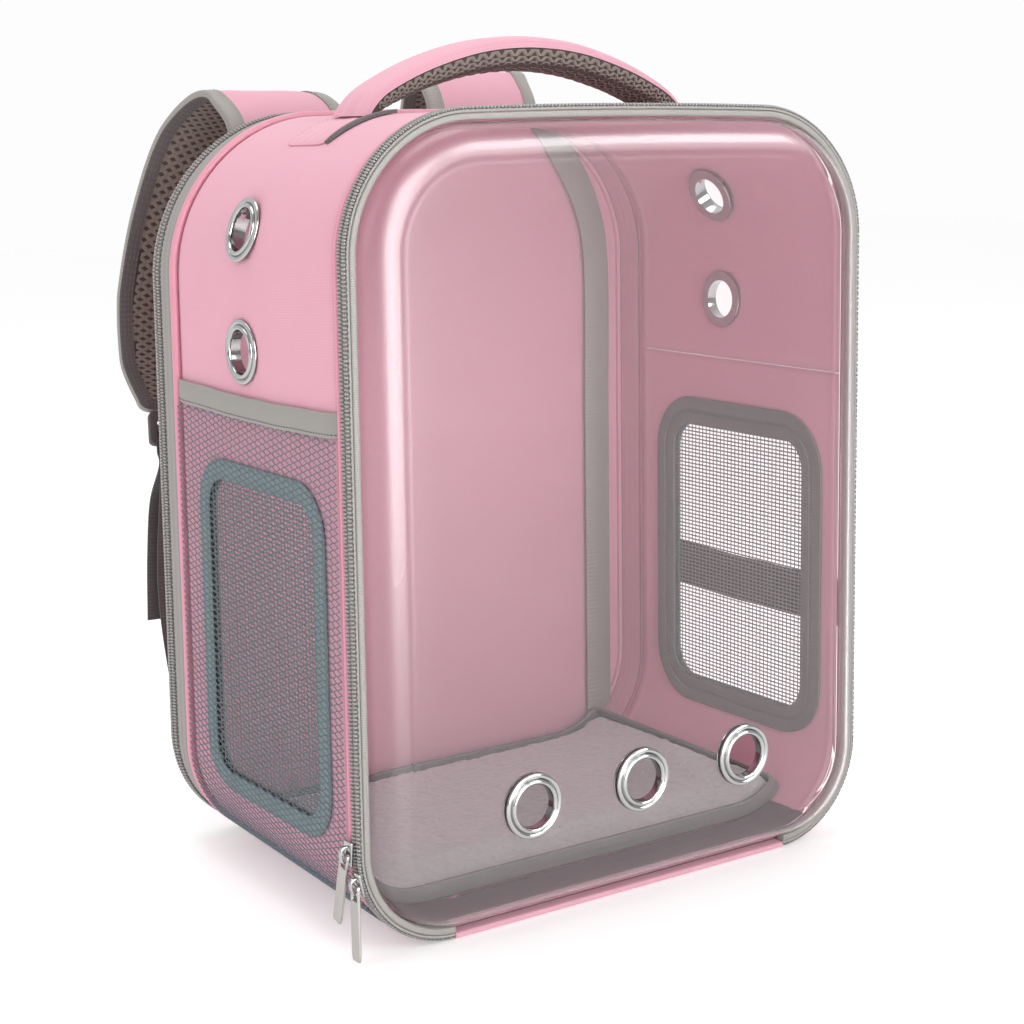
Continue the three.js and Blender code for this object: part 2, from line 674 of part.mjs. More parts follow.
[['left', -1, LEFT_STRAP], ['right', 1, RIGHT_STRAP]].forEach(([name, which, rows]) => {
  const curve = curveThrough(rows.map(({ x, y, z }) => new THREE.Vector3(x, y, z)));
  const widthAt = along(rows, 'width');
  const edge = 2 * (STRAP_BINDING.wide + 2 * GAP);
  const lastLayer = 1 - (STRAP_BINDING.wide + 2 * GAP) / curve.getLength();
  const layerTimes = spaced(0, lastLayer, STRAP_STEPS);
  const layer = (low, high) => {
    return ribbon(curve, sideways, layerTimes, (t) => widthAt(t) - edge, () => low, () => high);
  };
  add(`${name}_strap_cover`, layer(STRAP_COVER.low, STRAP_COVER.high), FINISH.pink);
  add(`${name}_strap_pad`, layer(STRAP_PAD.low, STRAP_PAD.high), FINISH.airMesh);
  add(`${name}_strap_binding`, strapBinding(curve, widthAt, layerTimes), FINISH.grey);
  const tip = ribbonFrame(curve, sideways, 1);
  add(`${name}_adjuster`, adjusterPlate(tip), FINISH.plastic);
  add(`${name}_webbing`, webbing(tip, -WEBBING.spread, WEBBING_ROUTE, which), FINISH.webbing);
  add(`${name}_webbing_tail`, webbing(tip, WEBBING.spread, TAIL_ROUTE, which), FINISH.webbing);
});

// Zip sliders with a bridge, and a pull that hangs by its bar under each bridge
function sliderBody() {
  const body = new THREE.BoxGeometry(SLIDER.width, SLIDER.top - SLIDER.low, SLIDER.length);
  body.translate(0, (SLIDER.top + SLIDER.low) / 2, 0);
  const half = BRIDGE.length / 2;
  const top = SLIDER.top + BRIDGE.clear;
  const leg = half - BRIDGE.thick;
  const eave = top - BRIDGE.chamfer;
  const flat = leg - BRIDGE.chamfer;
  const arch = new THREE.Shape();
  arch.moveTo(-half, SLIDER.low).lineTo(-leg, SLIDER.low).lineTo(-leg, eave).lineTo(-flat, top);
  arch.lineTo(flat, top).lineTo(leg, eave).lineTo(leg, SLIDER.low).lineTo(half, SLIDER.low);
  arch.lineTo(half, top).lineTo(leg, top + BRIDGE.thick).lineTo(-leg, top + BRIDGE.thick).lineTo(-half, top);
  const bridge = new THREE.ExtrudeGeometry(arch, { depth: BRIDGE.width, bevelEnabled: false });
  bridge.translate(0, 0, -BRIDGE.width / 2).rotateY(Math.PI / 2);
  return join([body, bridge]);
}

function pullPlate(lean) {
  const half = PULL.width / 2;
  const top = PULL.bar / 2;
  const end = top - PULL.length;
  const plate = new THREE.Shape();
  plate.moveTo(-half + PULL.chamfer, top).lineTo(-half, top - PULL.chamfer).lineTo(-half, end + half);
  plate.absarc(0, end + half, half, Math.PI, 2 * Math.PI);
  plate.lineTo(half, top - PULL.chamfer).lineTo(half - PULL.chamfer, top);
  const slot = new THREE.Path();
  const side = PULL.slotWidth / 2;
  const low = -PULL.bar / 2 - PULL.slot;
  slot.moveTo(-side, low).lineTo(side, low).lineTo(side, -PULL.bar / 2).lineTo(-side, -PULL.bar / 2);
  plate.holes.push(slot);
  const settings = { depth: PULL.thick, bevelEnabled: false, curveSegments: 8 };
  const block = new THREE.ExtrudeGeometry(plate, settings);
  return block.translate(0, 0, -PULL.thick / 2).rotateZ(THREE.MathUtils.degToRad(lean));
}

SLIDERS.forEach(({ name, y, z, lean }) => {
  const { point, out } = sidePlace(-1, y, z, COIL.top);
  out.setY(0).normalize();
  const facing = new THREE.Matrix4().makeBasis(forward, out, forward.clone().cross(out));
  add(`${name}_zip_slider`, sliderBody().applyMatrix4(facing).translate(...point.toArray()), FINISH.chrome);
  const pivot = point.clone().addScaledVector(out, SLIDER.top + BRIDGE.clear / 2);
  const hang = new THREE.Matrix4().makeBasis(
    new THREE.Vector3(0, 1, 0),
    new THREE.Vector3(0, 0, 1),
    new THREE.Vector3(1, 0, 0),
  );
  add(`${name}_zip_pull`, pullPlate(lean).applyMatrix4(hang).translate(...pivot.toArray()), FINISH.chrome);
});

export default backpack;
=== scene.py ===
import bisect
import math

import bmesh
import bpy
from mathutils import Matrix, Vector, noise


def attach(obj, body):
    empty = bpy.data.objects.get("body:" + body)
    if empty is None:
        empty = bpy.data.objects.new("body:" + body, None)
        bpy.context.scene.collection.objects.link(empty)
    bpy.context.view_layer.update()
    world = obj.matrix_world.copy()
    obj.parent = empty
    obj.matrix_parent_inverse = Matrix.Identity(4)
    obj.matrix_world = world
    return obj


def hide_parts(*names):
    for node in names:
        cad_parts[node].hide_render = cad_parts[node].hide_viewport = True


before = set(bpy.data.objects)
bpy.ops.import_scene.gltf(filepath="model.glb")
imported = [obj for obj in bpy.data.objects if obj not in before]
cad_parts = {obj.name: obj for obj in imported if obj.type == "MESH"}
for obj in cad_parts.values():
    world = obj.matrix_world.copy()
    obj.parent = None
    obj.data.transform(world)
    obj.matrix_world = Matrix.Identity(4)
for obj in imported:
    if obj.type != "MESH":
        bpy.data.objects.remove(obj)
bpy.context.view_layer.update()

MM = 0.001
FORWARD = Vector((0, -1, 0))
SIDEWAYS = Vector((1, 0, 0))

# Sizes of the body in millimetres, the same as the part's own
WIDTH = 332
HEIGHT = 420
FRONT_RIM = -110
BACK_RIM = 110
TOP_RADIUS = (71, 92)
BASE_RADIUS = (56, 65)
CROWN = 4
CORNER_TURN = 0.994
PANEL = (-99.8, 79.6)
DEPTH = PANEL[1] - PANEL[0]
FABRIC = 3
FABRIC_WALL = 2.4
CLOTH_CELL = 4.2
SIDE_SEAM = 268
SEAM_GAP = 0.3
STITCH_PITCH = 2.8
SIDES = (("left", -1), ("right", 1))

# Lengths of cloth round half of the body at its middle depth
TOP_SPAN = 84.5
TOP_TURN = 128
SIDE_SPAN = 278
BASE_TURN = 95
BASE_SPAN = 105.5
HALF_ROUND = TOP_SPAN + TOP_TURN + SIDE_SPAN + BASE_TURN + BASE_SPAN
SHOULDER_SPAN = 70.5
SEWN_END = TOP_SPAN + TOP_TURN + SIDE_SPAN + BASE_TURN * CORNER_TURN
FLANK_FOOT = 80
FLANK_TURN = 114.4
FLANK_LENGTH = SIDE_SEAM - FLANK_FOOT + FLANK_TURN

# The mesh window in each side, as distances down from the side seam and depths
VENT_LOW = (37, -79)
VENT_HIGH = (214, 53)
VENT_RADIUS = 24
VENT_HALF = [(high - low) / 2 for low, high in zip(VENT_LOW, VENT_HIGH)]
VENT_MIDDLE = [(high + low) / 2 for low, high in zip(VENT_LOW, VENT_HIGH)]


def lerp(a, b, share):
    return a + (b - a) * share


def spaced(first, last, steps):
    return [lerp(first, last, k / steps) for k in range(steps + 1)]


# Places on the body: a distance round it from the top middle (left is minus), a depth and an inset
def crowned(x, y, z):
    rise = max(0, 2 * z / HEIGHT - 1)
    return Vector((x, y, z - CROWN * rise * (2 * x / WIDTH) ** 2))


def radius_at(radius, y):
    return lerp(*radius, (y - FRONT_RIM) / (BACK_RIM - FRONT_RIM))


def outline(along, y, inset, foot=None):
    if along > HALF_ROUND:
        along -= 2 * HALF_ROUND
    hand = math.copysign(1, along)
    way = abs(along)
    top = radius_at(TOP_RADIUS, y)
    base = radius_at(BASE_RADIUS, y)
    if way <= TOP_SPAN:
        return crowned(hand * (WIDTH / 2 - top) * way / TOP_SPAN, y, HEIGHT - inset)
    way -= TOP_SPAN
    if way <= TOP_TURN:
        angle = (1 - way / TOP_TURN) * math.pi / 2
        x = WIDTH / 2 - top + (top - inset) * math.cos(angle)
        return crowned(hand * x, y, HEIGHT - top + (top - inset) * math.sin(angle))
    way -= TOP_TURN
    span = SIDE_SPAN if foot is None else SHOULDER_SPAN
    if way <= span or foot is not None:
        z = lerp(HEIGHT - top, base if foot is None else foot, way / span)
        return crowned(hand * (WIDTH / 2 - inset), y, z)
    way -= span
    if way <= BASE_TURN:
        angle = way / BASE_TURN * math.pi / 2
        x = WIDTH / 2 - base + (base - inset) * math.cos(angle)
        return crowned(hand * x, y, base - (base - inset) * math.sin(angle))
    way -= BASE_TURN
    return crowned(hand * (WIDTH / 2 - base) * (1 - way / BASE_SPAN), y, inset)


def shoulder(along, y, inset):
    return outline(along, y, inset, foot=SIDE_SEAM + SEAM_GAP)


def flank(along, y, inset):
    hand = math.copysign(1, along)
    z = SIDE_SEAM - abs(along)
    if z >= FLANK_FOOT:
        return crowned(hand * (WIDTH / 2 - inset), y, z)
    base = radius_at(BASE_RADIUS, y)
    straight = FLANK_FOOT - base
    way = (FLANK_FOOT - z) / FLANK_TURN * (straight + base * math.pi / 2 * CORNER_TURN)
    if way <= straight:
        return crowned(hand * (WIDTH / 2 - inset), y, FLANK_FOOT - way)
    angle = (way - straight) / base
    x = WIDTH / 2 - base + (base - inset) * math.cos(angle)
    return crowned(hand * x, y, base - (base - inset) * math.sin(angle))


# A seat on a surface: its axes run along the cloth, across it and out of it
def axes(first, second, third):
    return Matrix((first, second, third)).transposed().to_4x4()


def seat(place, along, y, inset):
    ahead = (place(along + 0.5, y, inset) - place(along - 0.5, y, inset)).normalized()
    out = ahead.cross(place(along, y + 0.5, inset) - place(along, y - 0.5, inset)).normalized()
    return Matrix.Translation(place(along, y, inset)) @ axes(ahead, out.cross(ahead), out)


# Lines: a smooth one through a few points, and a plain one walked by its length
def smooth_line(points):
    ends = [points[0] * 2 - points[1], *points, points[-1] * 2 - points[-2]]

    def at(share):
        way = min(max(share, 0), 1) * (len(points) - 1)
        i = min(int(way), len(points) - 2)
        before, first, last, after = ends[i:i + 4]
        k0 = (first - before).length ** 0.5
        k1 = (last - first).length ** 0.5
        k2 = (after - last).length ** 0.5
        leave = ((first - before) / k0 - (last - before) / (k0 + k1)) * k1 + (last - first)
        reach = (last - first) - ((after - first) / (k1 + k2) - (after - last) / k2) * k1
        w = way - i
        bend = (last - first) * 3 - leave * 2 - reach
        return first + leave * w + bend * w * w + (leave + reach - (last - first) * 2) * w ** 3

    return at


def walked_line(points):
    lengths = [math.dist(a, b) for a, b in zip(points, points[1:])]
    total = sum(lengths)

    def at(share):
        way = min(max(share, 0), 1) * total
        i = 0
        while i < len(lengths) - 1 and way > lengths[i]:
            way -= lengths[i]
            i += 1
        return tuple(lerp(a, b, min(way / lengths[i], 1)) for a, b in zip(points[i], points[i + 1]))

    return at


def line_length(line, steps=200):
    return sum((line((k + 1) / steps) - line(k / steps)).length for k in range(steps))


def evened(line, steps=600):
    reach = [0]
    for k in range(steps):
        reach.append(reach[-1] + (line((k + 1) / steps) - line(k / steps)).length)

    def at(share):
        way = min(max(share, 0), 1) * reach[-1]
        i = min(max(bisect.bisect(reach, way) - 1, 0), steps - 1)
        return line((i + (way - reach[i]) / (reach[i + 1] - reach[i])) / steps)

    return at


def read_row(rows, share):
    way = share * (len(rows) - 1)
    i = min(int(way), len(rows) - 2)
    return [lerp(a, b, way - i) for a, b in zip(rows[i], rows[i + 1])]


def ribbon_frame(line, across, share):
    ahead = (line(share + 0.0005) - line(share - 0.0005)).normalized()
    beside = (across - ahead * across.dot(ahead)).normalized()
    return line(share), ahead, beside, beside.cross(ahead)


def on_ribbon(line, across):
    def place(share, aside, lift):
        at, ahead, beside, up = ribbon_frame(line, across, share)
        return at + beside * aside + up * lift

    return place


# Making: every piece is made in millimetres, and the cut sizes of cloth and tape are kept as a UV map in
# metres
def to_mesh(name, bm):
    mesh = bpy.data.meshes.new(name)
    bm.to_mesh(mesh)
    bm.free()
    return mesh


def put_in_scene(name, data):
    made = bpy.data.objects.new(name, data)
    bpy.context.scene.collection.objects.link(made)
    return made


def finished(name, bm, material, replaced=(), body="bag", sharp=40):
    bmesh.ops.scale(bm, vec=(MM, MM, MM), verts=bm.verts)
    for face in bm.faces:
        face.smooth = True
    mesh = to_mesh(name, bm)
    mesh.set_sharp_from_angle(angle=math.radians(sharp))
    mesh.materials.append(material)
    made = put_in_scene(name, mesh)
    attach(made, body)
    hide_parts(*replaced)
    return made


def thickened(made):
    layer = made.modifiers.new("wall", "SOLIDIFY")
    layer.thickness = FABRIC_WALL * MM
    layer.offset = -1
    return made


def walled(bm, wall):
    bmesh.ops.solidify(bm, geom=bm.faces[:], thickness=wall)
    return bm


def keep_cut(bm):
    cut = bm.loops.layers.uv.new("cut")
    for face in bm.faces:
        for loop in face.loops:
            loop[cut].uv = loop.vert.co.xy * MM


def cut_cloth(along, depth):
    bm = bmesh.new()
    steps = [max(1, round((last - first) / CLOTH_CELL)) for first, last in (along, depth)]
    bmesh.ops.create_grid(bm, x_segments=steps[0], y_segments=steps[1], size=0.5)
    for vert in bm.verts:
        vert.co = (lerp(*along, vert.co.x + 0.5), lerp(*depth, vert.co.y + 0.5), 0)
    return bm


def open_hole(bm, edge_distance):
    for vert in bm.verts:
        x, y, z = vert.co
        off = edge_distance(x, y)
        if abs(off) < 0.48 * CLOTH_CELL:
            slope = Vector((edge_distance(x + 0.01, y) - off, edge_distance(x, y + 0.01) - off))
            vert.co.xy -= slope.normalized() * off
    inside = [face for face in bm.faces if edge_distance(*face.calc_center_median().xy) < 0]
    bmesh.ops.delete(bm, geom=inside, context="FACES")


def cut_off(bm, at, facing):
    everything = [*bm.verts, *bm.edges, *bm.faces]
    bmesh.ops.bisect_plane(bm, geom=everything, plane_co=at, plane_no=facing, clear_outer=True)
    bmesh.ops.holes_fill(bm, edges=bm.edges, sides=0)
    bmesh.ops.recalc_face_normals(bm, faces=bm.faces)
    return bm


def bent(bm, place):
    for vert in bm.verts:
        vert.co = place(*vert.co)
    return bm


# A section is a ring of points, or a function that gives one for each share of the way
def carried(place, section, steps, length, ring=False):
    bm = bmesh.new()
    section_at = section if callable(section) else lambda share: section
    middle = section_at(0.5)
    sides = len(middle)
    girth = sum(math.dist(a, b) for a, b in zip(middle, middle[1:] + middle[:1]))
    bmesh.ops.create_grid(bm, x_segments=steps, y_segments=sides, size=0.5)
    for vert in bm.verts:
        vert.co = ((vert.co.x + 0.5) * length, (vert.co.y + 0.5) * girth, 0)
    keep_cut(bm)
    for vert in bm.verts:
        share = vert.co.x / length
        side = round(vert.co.y / girth * sides) % sides
        vert.co = place(share, *section_at(share)[side])
    bmesh.ops.remove_doubles(bm, verts=bm.verts, dist=0.01)
    if not ring:
        bmesh.ops.holes_fill(bm, edges=bm.edges, sides=0)
    bmesh.ops.recalc_face_normals(bm, faces=bm.faces)
    return bm


def rounded_box(low, high, radius, steps=3):
    points = []
    for turn, (x, y) in enumerate((high, (low[0], high[1]), low, (high[0], low[1]))):
        inward = [(-radius, -radius), (radius, -radius), (radius, radius), (-radius, radius)][turn]
        for angle in spaced(turn * math.pi / 2, (turn + 1) * math.pi / 2, steps):
            centre = (x + inward[0], y + inward[1])
            points.append((centre[0] + radius * math.cos(angle), centre[1] + radius * math.sin(angle)))
    return points


def pushed_out(point, low, high, radius, out):
    core = [min(max(p, a + radius), b - radius) for p, a, b in zip(point, low, high)]
    away = Vector([p - c for p, c in zip(point, core)]).normalized() * out
    return point[0] + away.x, point[1] + away.y


def round_body(first, last):
    def place(share, inset, y):
        return outline(lerp(first, last, share), y, inset)

    return place


def repeated(shape, seats):
    pattern = to_mesh("pattern", shape)
    bm = bmesh.new()
    for place in seats:
        copy = pattern.copy()
        copy.transform(place)
        bm.from_mesh(copy)
        bpy.data.meshes.remove(copy)
    bpy.data.meshes.remove(pattern)
    return bm


def bead(length, width, height, rounds=6):
    shape = bmesh.new()
    size = Matrix.Diagonal((length / 2, width / 2, height / 2, 1))
    bmesh.ops.create_uvsphere(shape, u_segments=rounds, v_segments=4, radius=1, matrix=size)
    return shape


def add_thread(bm, path, place, width, height):
    steps = len(path) - 1
    verts = bmesh.ops.create_grid(bm, x_segments=steps, y_segments=4, size=0.5)["verts"]
    for vert in verts:
        i = round((vert.co.x + 0.5) * steps)
        turn = (vert.co.y + 0.5) * 2 * math.pi
        before, after = path[max(i - 1, 0)], path[min(i + 1, steps)]
        ahead = Vector((after[0] - before[0], after[1] - before[1])).normalized()
        aside = math.cos(turn) * width / 2
        along, across, lift = path[i]
        lift += math.sin(turn) * height / 2
        vert.co = place(along - ahead.y * aside, across + ahead.x * aside, lift)


def threads_closed(bm):
    bmesh.ops.remove_doubles(bm, verts=bm.verts, dist=0.002)
    bmesh.ops.holes_fill(bm, edges=bm.edges, sides=0)
    bmesh.ops.recalc_face_normals(bm, faces=bm.faces)
    return bm


def knitted(place, strands, row, pitch, width, height, hold=0.0):
    bm = bmesh.new()
    swing = (pitch - 0.7 * width) / 2
    for k, (across, first, last) in enumerate(strands):
        path = []
        for i in range(max(2, round((last - first) / row)) + 1):
            aside = swing if (i + k) % 2 else -swing
            for shift in sorted({-hold * row / 2, hold * row / 2}):
                path.append((first + i * row + shift, across + aside, 0.12 if i % 2 else -0.12))
        add_thread(bm, path, place, width, height)
    return threads_closed(bm)


def by_length(place, length):
    return lambda along, aside, lift: place(along / length, aside, lift)


def sewn(name, surface, ends, aside, lift, material):
    count = max(2, round(abs(ends[1] - ends[0]) / STITCH_PITCH))
    seats = [seat(surface, lerp(*ends, (k + 0.5) / count), aside, lift) for k in range(count)]
    stitches = repeated(bead(0.7 * STITCH_PITCH, 0.75, 0.55, 5), seats)
    finished(name, stitches, material, sharp=180)


# Materials: colours are sRGB hex values, patterns read the cut sizes or the object's own metres
def linear(code):
    parts = [int(code[i:i + 2], 16) / 255 for i in (0, 2, 4)]
    return tuple(p / 12.92 if p <= 0.04045 else ((p + 0.055) / 1.055) ** 2.4 for p in parts) + (1,)


def add_node(tree, kind, inputs, **settings):
    made = tree.nodes.new(kind)
    for name, value in settings.items():
        setattr(made, name, value)
    for key, value in inputs.items():
        if isinstance(value, bpy.types.NodeSocket):
            tree.links.new(value, made.inputs[key])
        else:
            made.inputs[key].default_value = value
    return made


def new_finish(name, sockets):
    made = bpy.data.materials.new(name)
    made.use_nodes = True
    tree = made.node_tree
    tree.nodes.clear()
    shader = add_node(tree, "ShaderNodeBsdfPrincipled", sockets)
    add_node(tree, "ShaderNodeOutputMaterial", {"Surface": shader.outputs[0]})
    return made, tree, shader


def band_scale(period):
    return 0.31416 / (period * MM)


def woven(name, shades, threads, relief, sockets, patch=40):
    made, tree, shader = new_finish(name, sockets)
    cut = add_node(tree, "ShaderNodeUVMap", {}, uv_map="cut").outputs[0]
    waves = []
    for period, direction in zip(threads, "XY"):
        wave = add_node(tree, "ShaderNodeTexWave", {
            "Vector": cut, "Scale": band_scale(period), "Distortion": 0.6, "Detail": 1, "Detail Scale": 2,
        }, bands_direction=direction)
        waves.append(wave.outputs["Fac"])
    height = add_node(tree, "ShaderNodeMath", {0: waves[0], 1: waves[1]}, operation="MULTIPLY").outputs[0]
    patches = add_node(tree, "ShaderNodeTexNoise", {"Vector": cut, "Scale": 1 / (patch * MM), "Detail": 3})
    faded = add_node(tree, "ShaderNodeMix", {
        0: patches.outputs["Fac"], 6: linear(shades[0]), 7: linear(shades[1]),
    }, data_type="RGBA").outputs[2]
    share = add_node(tree, "ShaderNodeMapRange", {"Value": height, "To Min": 0.4, "To Max": 0}).outputs[0]
    colour = add_node(tree, "ShaderNodeMix", {0: share, 6: faded, 7: linear(shades[2])}, data_type="RGBA")
    bump = add_node(tree, "ShaderNodeBump", {"Height": height, "Distance": relief * MM, "Strength": 0.6})
    tree.links.new(colour.outputs[2], shader.inputs["Base Color"])
    tree.links.new(bump.outputs[0], shader.inputs["Normal"])
    return made


def mottled(name, shades, grain, relief, sockets):
    made, tree, shader = new_finish(name, sockets)
    own = add_node(tree, "ShaderNodeTexCoord", {}).outputs["Object"]
    grains = add_node(tree, "ShaderNodeTexNoise", {"Vector": own, "Scale": 1 / (grain * MM), "Detail": 4})
    colour = add_node(tree, "ShaderNodeMix", {
        0: grains.outputs["Fac"], 6: linear(shades[0]), 7: linear(shades[1]),
    }, data_type="RGBA")
    bump = add_node(tree, "ShaderNodeBump", {
        "Height": grains.outputs["Fac"], "Distance": relief * MM, "Strength": 0.7,
    })
    tree.links.new(colour.outputs[2], shader.inputs["Base Color"])
    tree.links.new(bump.outputs[0], shader.inputs["Normal"])
    return made


# Oxford polyester, dyed pink: a matt plain weave with a soft bloom at grazing angles.
# Real threads are 0.5 mm apart, drawn at 1.3 mm so that the weave shows
pink_oxford = woven("pink_oxford_polyester", ("dc9fb0", "e1a8b7", "c4859a"), (1.3, 1.3), 0.05, {
    "Roughness": 0.72, "Sheen Weight": 0.25, "Sheen Roughness": 0.5, "Sheen Tint": linear("ffe6ec"),
})
# Satin-faced bias tape over a cord: brighter pink, with a soft line of light along its crest
pink_cord = woven("pink_satin_piping", ("dd92a6", "e19bad", "c87c92"), (0.9, 3), 0.05, {
    "Roughness": 0.5, "Sheen Weight": 0.2, "Sheen Tint": linear("ffdfe7"),
})
# Polyester grosgrain: grey, with fine ribs across the tape; real ribs of 0.7 mm drawn at 1.1 mm
grey_grosgrain = woven("grey_grosgrain_tape", ("99958f", "a29e99", "6f6a66"), (1.1, 7), 0.16, {
    "Roughness": 0.68, "Sheen Weight": 0.15,
})
# Woven zip tape: darker and flatter than the binding, with a fine twill
zip_tape_cloth = woven("grey_zip_tape", ("a09c99", "a8a4a1", "757170"), (1.2, 1.2), 0.1, {"Roughness": 0.75})
# Nylon coil: smooth moulded bumps that each catch a small highlight
zip_nylon = mottled("grey_nylon_coil", ("8a8784", "a4a19e"), 3, 0.02, {"Roughness": 0.36})
# Polypropylene webbing: dark warm grey, with heavy ribs along its length
dark_webbing = woven("dark_polypropylene_webbing", ("554f4e", "605b5a", "332e2d"), (2.2, 1.7), 0.3, {
    "Roughness": 0.7, "Sheen Weight": 0.1,
})
# Polypropylene webbing across the right vent: nearly black, so that the pale net shows up in front of it
black_webbing = woven("black_polypropylene_webbing", ("2b2928", "353231", "1b1918"), (2.2, 1.7), 0.3, {
    "Roughness": 0.7, "Sheen Weight": 0.1,
})
# Knitted air mesh: grey-brown threads over a darker foam that shows through the holes
air_threads = mottled("grey_air_mesh_threads", ("6f675f", "857c73"), 2, 0.05, {"Roughness": 0.85})
air_foam = mottled("dark_air_mesh_foam", ("3a312a", "4d433b"), 4, 0.3, {"Roughness": 0.95})
# Knitted pocket mesh: bluish grey filament with a slight gloss
pocket_threads = mottled("blue_grey_pocket_threads", ("525f67", "68757f"), 6, 0.02, {"Roughness": 0.6})
# Twill tape round the vents: grey-green, with slanted ribs
vent_twill = woven("grey_green_twill_tape", ("8a9a9c", "93a3a5", "65757a"), (1.5, 1.5), 0.16, {
    "Roughness": 0.75, "Sheen Weight": 0.1,
})
# Ribbed polyester binding: a darker grey than the grosgrain, with a coarse cord across it
dark_binding = woven("dark_ribbed_binding", ("75726f", "7e7b78", "4b4846"), (1.7, 7), 0.25, {
    "Roughness": 0.75,
})
# Dark mauve, matt woven sheet at the foot of the door: painted shade, standing for the shaded floor there and
# the dark reflection in the window's lower bulge
door_foot_shade_cloth = woven("painted_shade_mauve_cloth", ("5a494e", "635257", "403337"), (1.3, 1.3), 0.05, {
    "Roughness": 0.7,
})
# Woven net of pale coated threads, drawn grey: painted shade of the net's unlit side, against the light that
# comes through its holes
painted_shade_net_threads = mottled("pale_net_painted_shade_threads", ("7f7f7e", "8f8e8d"), 8, 0.01, {"Roughness": 0.6})
# Plated steel, polished: clear dark and light reflections
bright_steel = mottled("polished_plated_steel", ("a6a8a7", "b4b5b4"), 20, 0.004, {
    "Metallic": 1, "Roughness": 0.1,
})
# Plated steel, satin: the same metal with a soft grain on the flat of the pulls
satin_steel = mottled("satin_plated_steel", ("a8a6a1", "b7b5b0"), 6, 0.01, {"Metallic": 1, "Roughness": 0.3})
# Moulded acetal: dark, with a slight even gloss
buckle_acetal = mottled("dark_moulded_acetal", ("423f3f", "4d4a4a"), 1.5, 0.02, {"Roughness": 0.45})
# Short polyester plush: pale, matt, with a clumped pile and a bright rim of fibres
mat_plush = mottled("pale_plush_pile", ("a9adac", "c6c9c8"), 3, 1.6, {
    "Roughness": 1, "Sheen Weight": 0.6, "Sheen Roughness": 0.6, "Sheen Tint": linear("fff4f5"),
})
# Polyester sewing thread, in the greys and pinks that it was sewn with
dark_thread = mottled("dark_sewing_thread", ("4a4646", "575252"), 1, 0.02, {"Roughness": 0.7})
grey_thread = mottled("grey_sewing_thread", ("8d8984", "9a9691"), 1, 0.02, {"Roughness": 0.7})
pink_thread = mottled("pink_sewing_thread", ("d98ea3", "e6a2b4"), 1, 0.02, {"Roughness": 0.7})
# Paper floor: pale, even and lit a little from below, as on a light table
floor_paper = mottled("pale_studio_paper", ("f3f2f1", "f7f6f5"), 300, 0.01, {
    "Roughness": 0.8, "Emission Color": linear("ffffff"), "Emission Strength": 0.29,
})

# Moulded PET: clear, with a trace of pink from the lining, and a fine haze that spreads its highlights
# into soft glows. Shadow and diffuse rays pass straight through it, so the inside is lit once, as in life
clear_sheet, clear_tree, clear_shader = new_finish("clear_moulded_pet", {
    "Base Color": linear("fbf3f5"), "Roughness": 0.02, "IOR": 1.1, "Transmission Weight": 0.99,
    "Coat Weight": 1, "Coat Roughness": 0.33, "Coat IOR": 1.35,
})
clear_output = clear_tree.nodes["Material Output"]
clear_paths = add_node(clear_tree, "ShaderNodeLightPath", {}).outputs
clear_light = add_node(clear_tree, "ShaderNodeMath", {
    0: clear_paths["Is Shadow Ray"], 1: clear_paths["Is Diffuse Ray"],
}, operation="MAXIMUM").outputs[0]
clear_through = add_node(clear_tree, "ShaderNodeBsdfTransparent", {"Color": linear("eff1f1")})
clear_both = add_node(clear_tree, "ShaderNodeMixShader", {
    0: clear_light, 1: clear_shader.outputs[0], 2: clear_through.outputs[0],
})
clear_tree.links.new(clear_both.outputs[0], clear_output.inputs["Surface"])


# Camera at the photograph's viewing angle
CAMERA_PLACE = (-0.61703, -0.91998, 0.40551)
CAMERA_RIGHT = Vector((0.82749, -0.56131, -0.01387)).normalized()
CAMERA_UP = Vector((0.09250, 0.11191, 0.98940)).normalized()
camera = put_in_scene("camera", bpy.data.cameras.new("camera"))
camera.data.lens = 69.39
camera.data.sensor_width = 36
camera.data.shift_y = -0.0898
camera_turn = axes(CAMERA_RIGHT, CAMERA_UP, CAMERA_RIGHT.cross(CAMERA_UP))
camera.matrix_world = Matrix.Translation(CAMERA_PLACE) @ camera_turn
bpy.context.scene.camera = camera

# Soft studio light: a pale surround brighter behind the bag, softboxes, and cards seen only in gloss
world = bpy.data.worlds.new("studio")
world.use_nodes = True
surround = world.node_tree.nodes["Background"]
surround.inputs[0].default_value = linear("fdfdfe")
facing = add_node(world.node_tree, "ShaderNodeTexCoord", {}).outputs["Generated"]
depth = add_node(world.node_tree, "ShaderNodeSeparateXYZ", {0: facing}).outputs["Y"]
behind = add_node(world.node_tree, "ShaderNodeMapRange", {
    "Value": depth, "From Min": -0.8, "From Max": 0.4, "To Min": 0.34, "To Max": 1,
}).outputs[0]
world.node_tree.links.new(behind, surround.inputs[1])
bpy.context.scene.world = world
bpy.context.scene.view_settings.view_transform = "Standard"

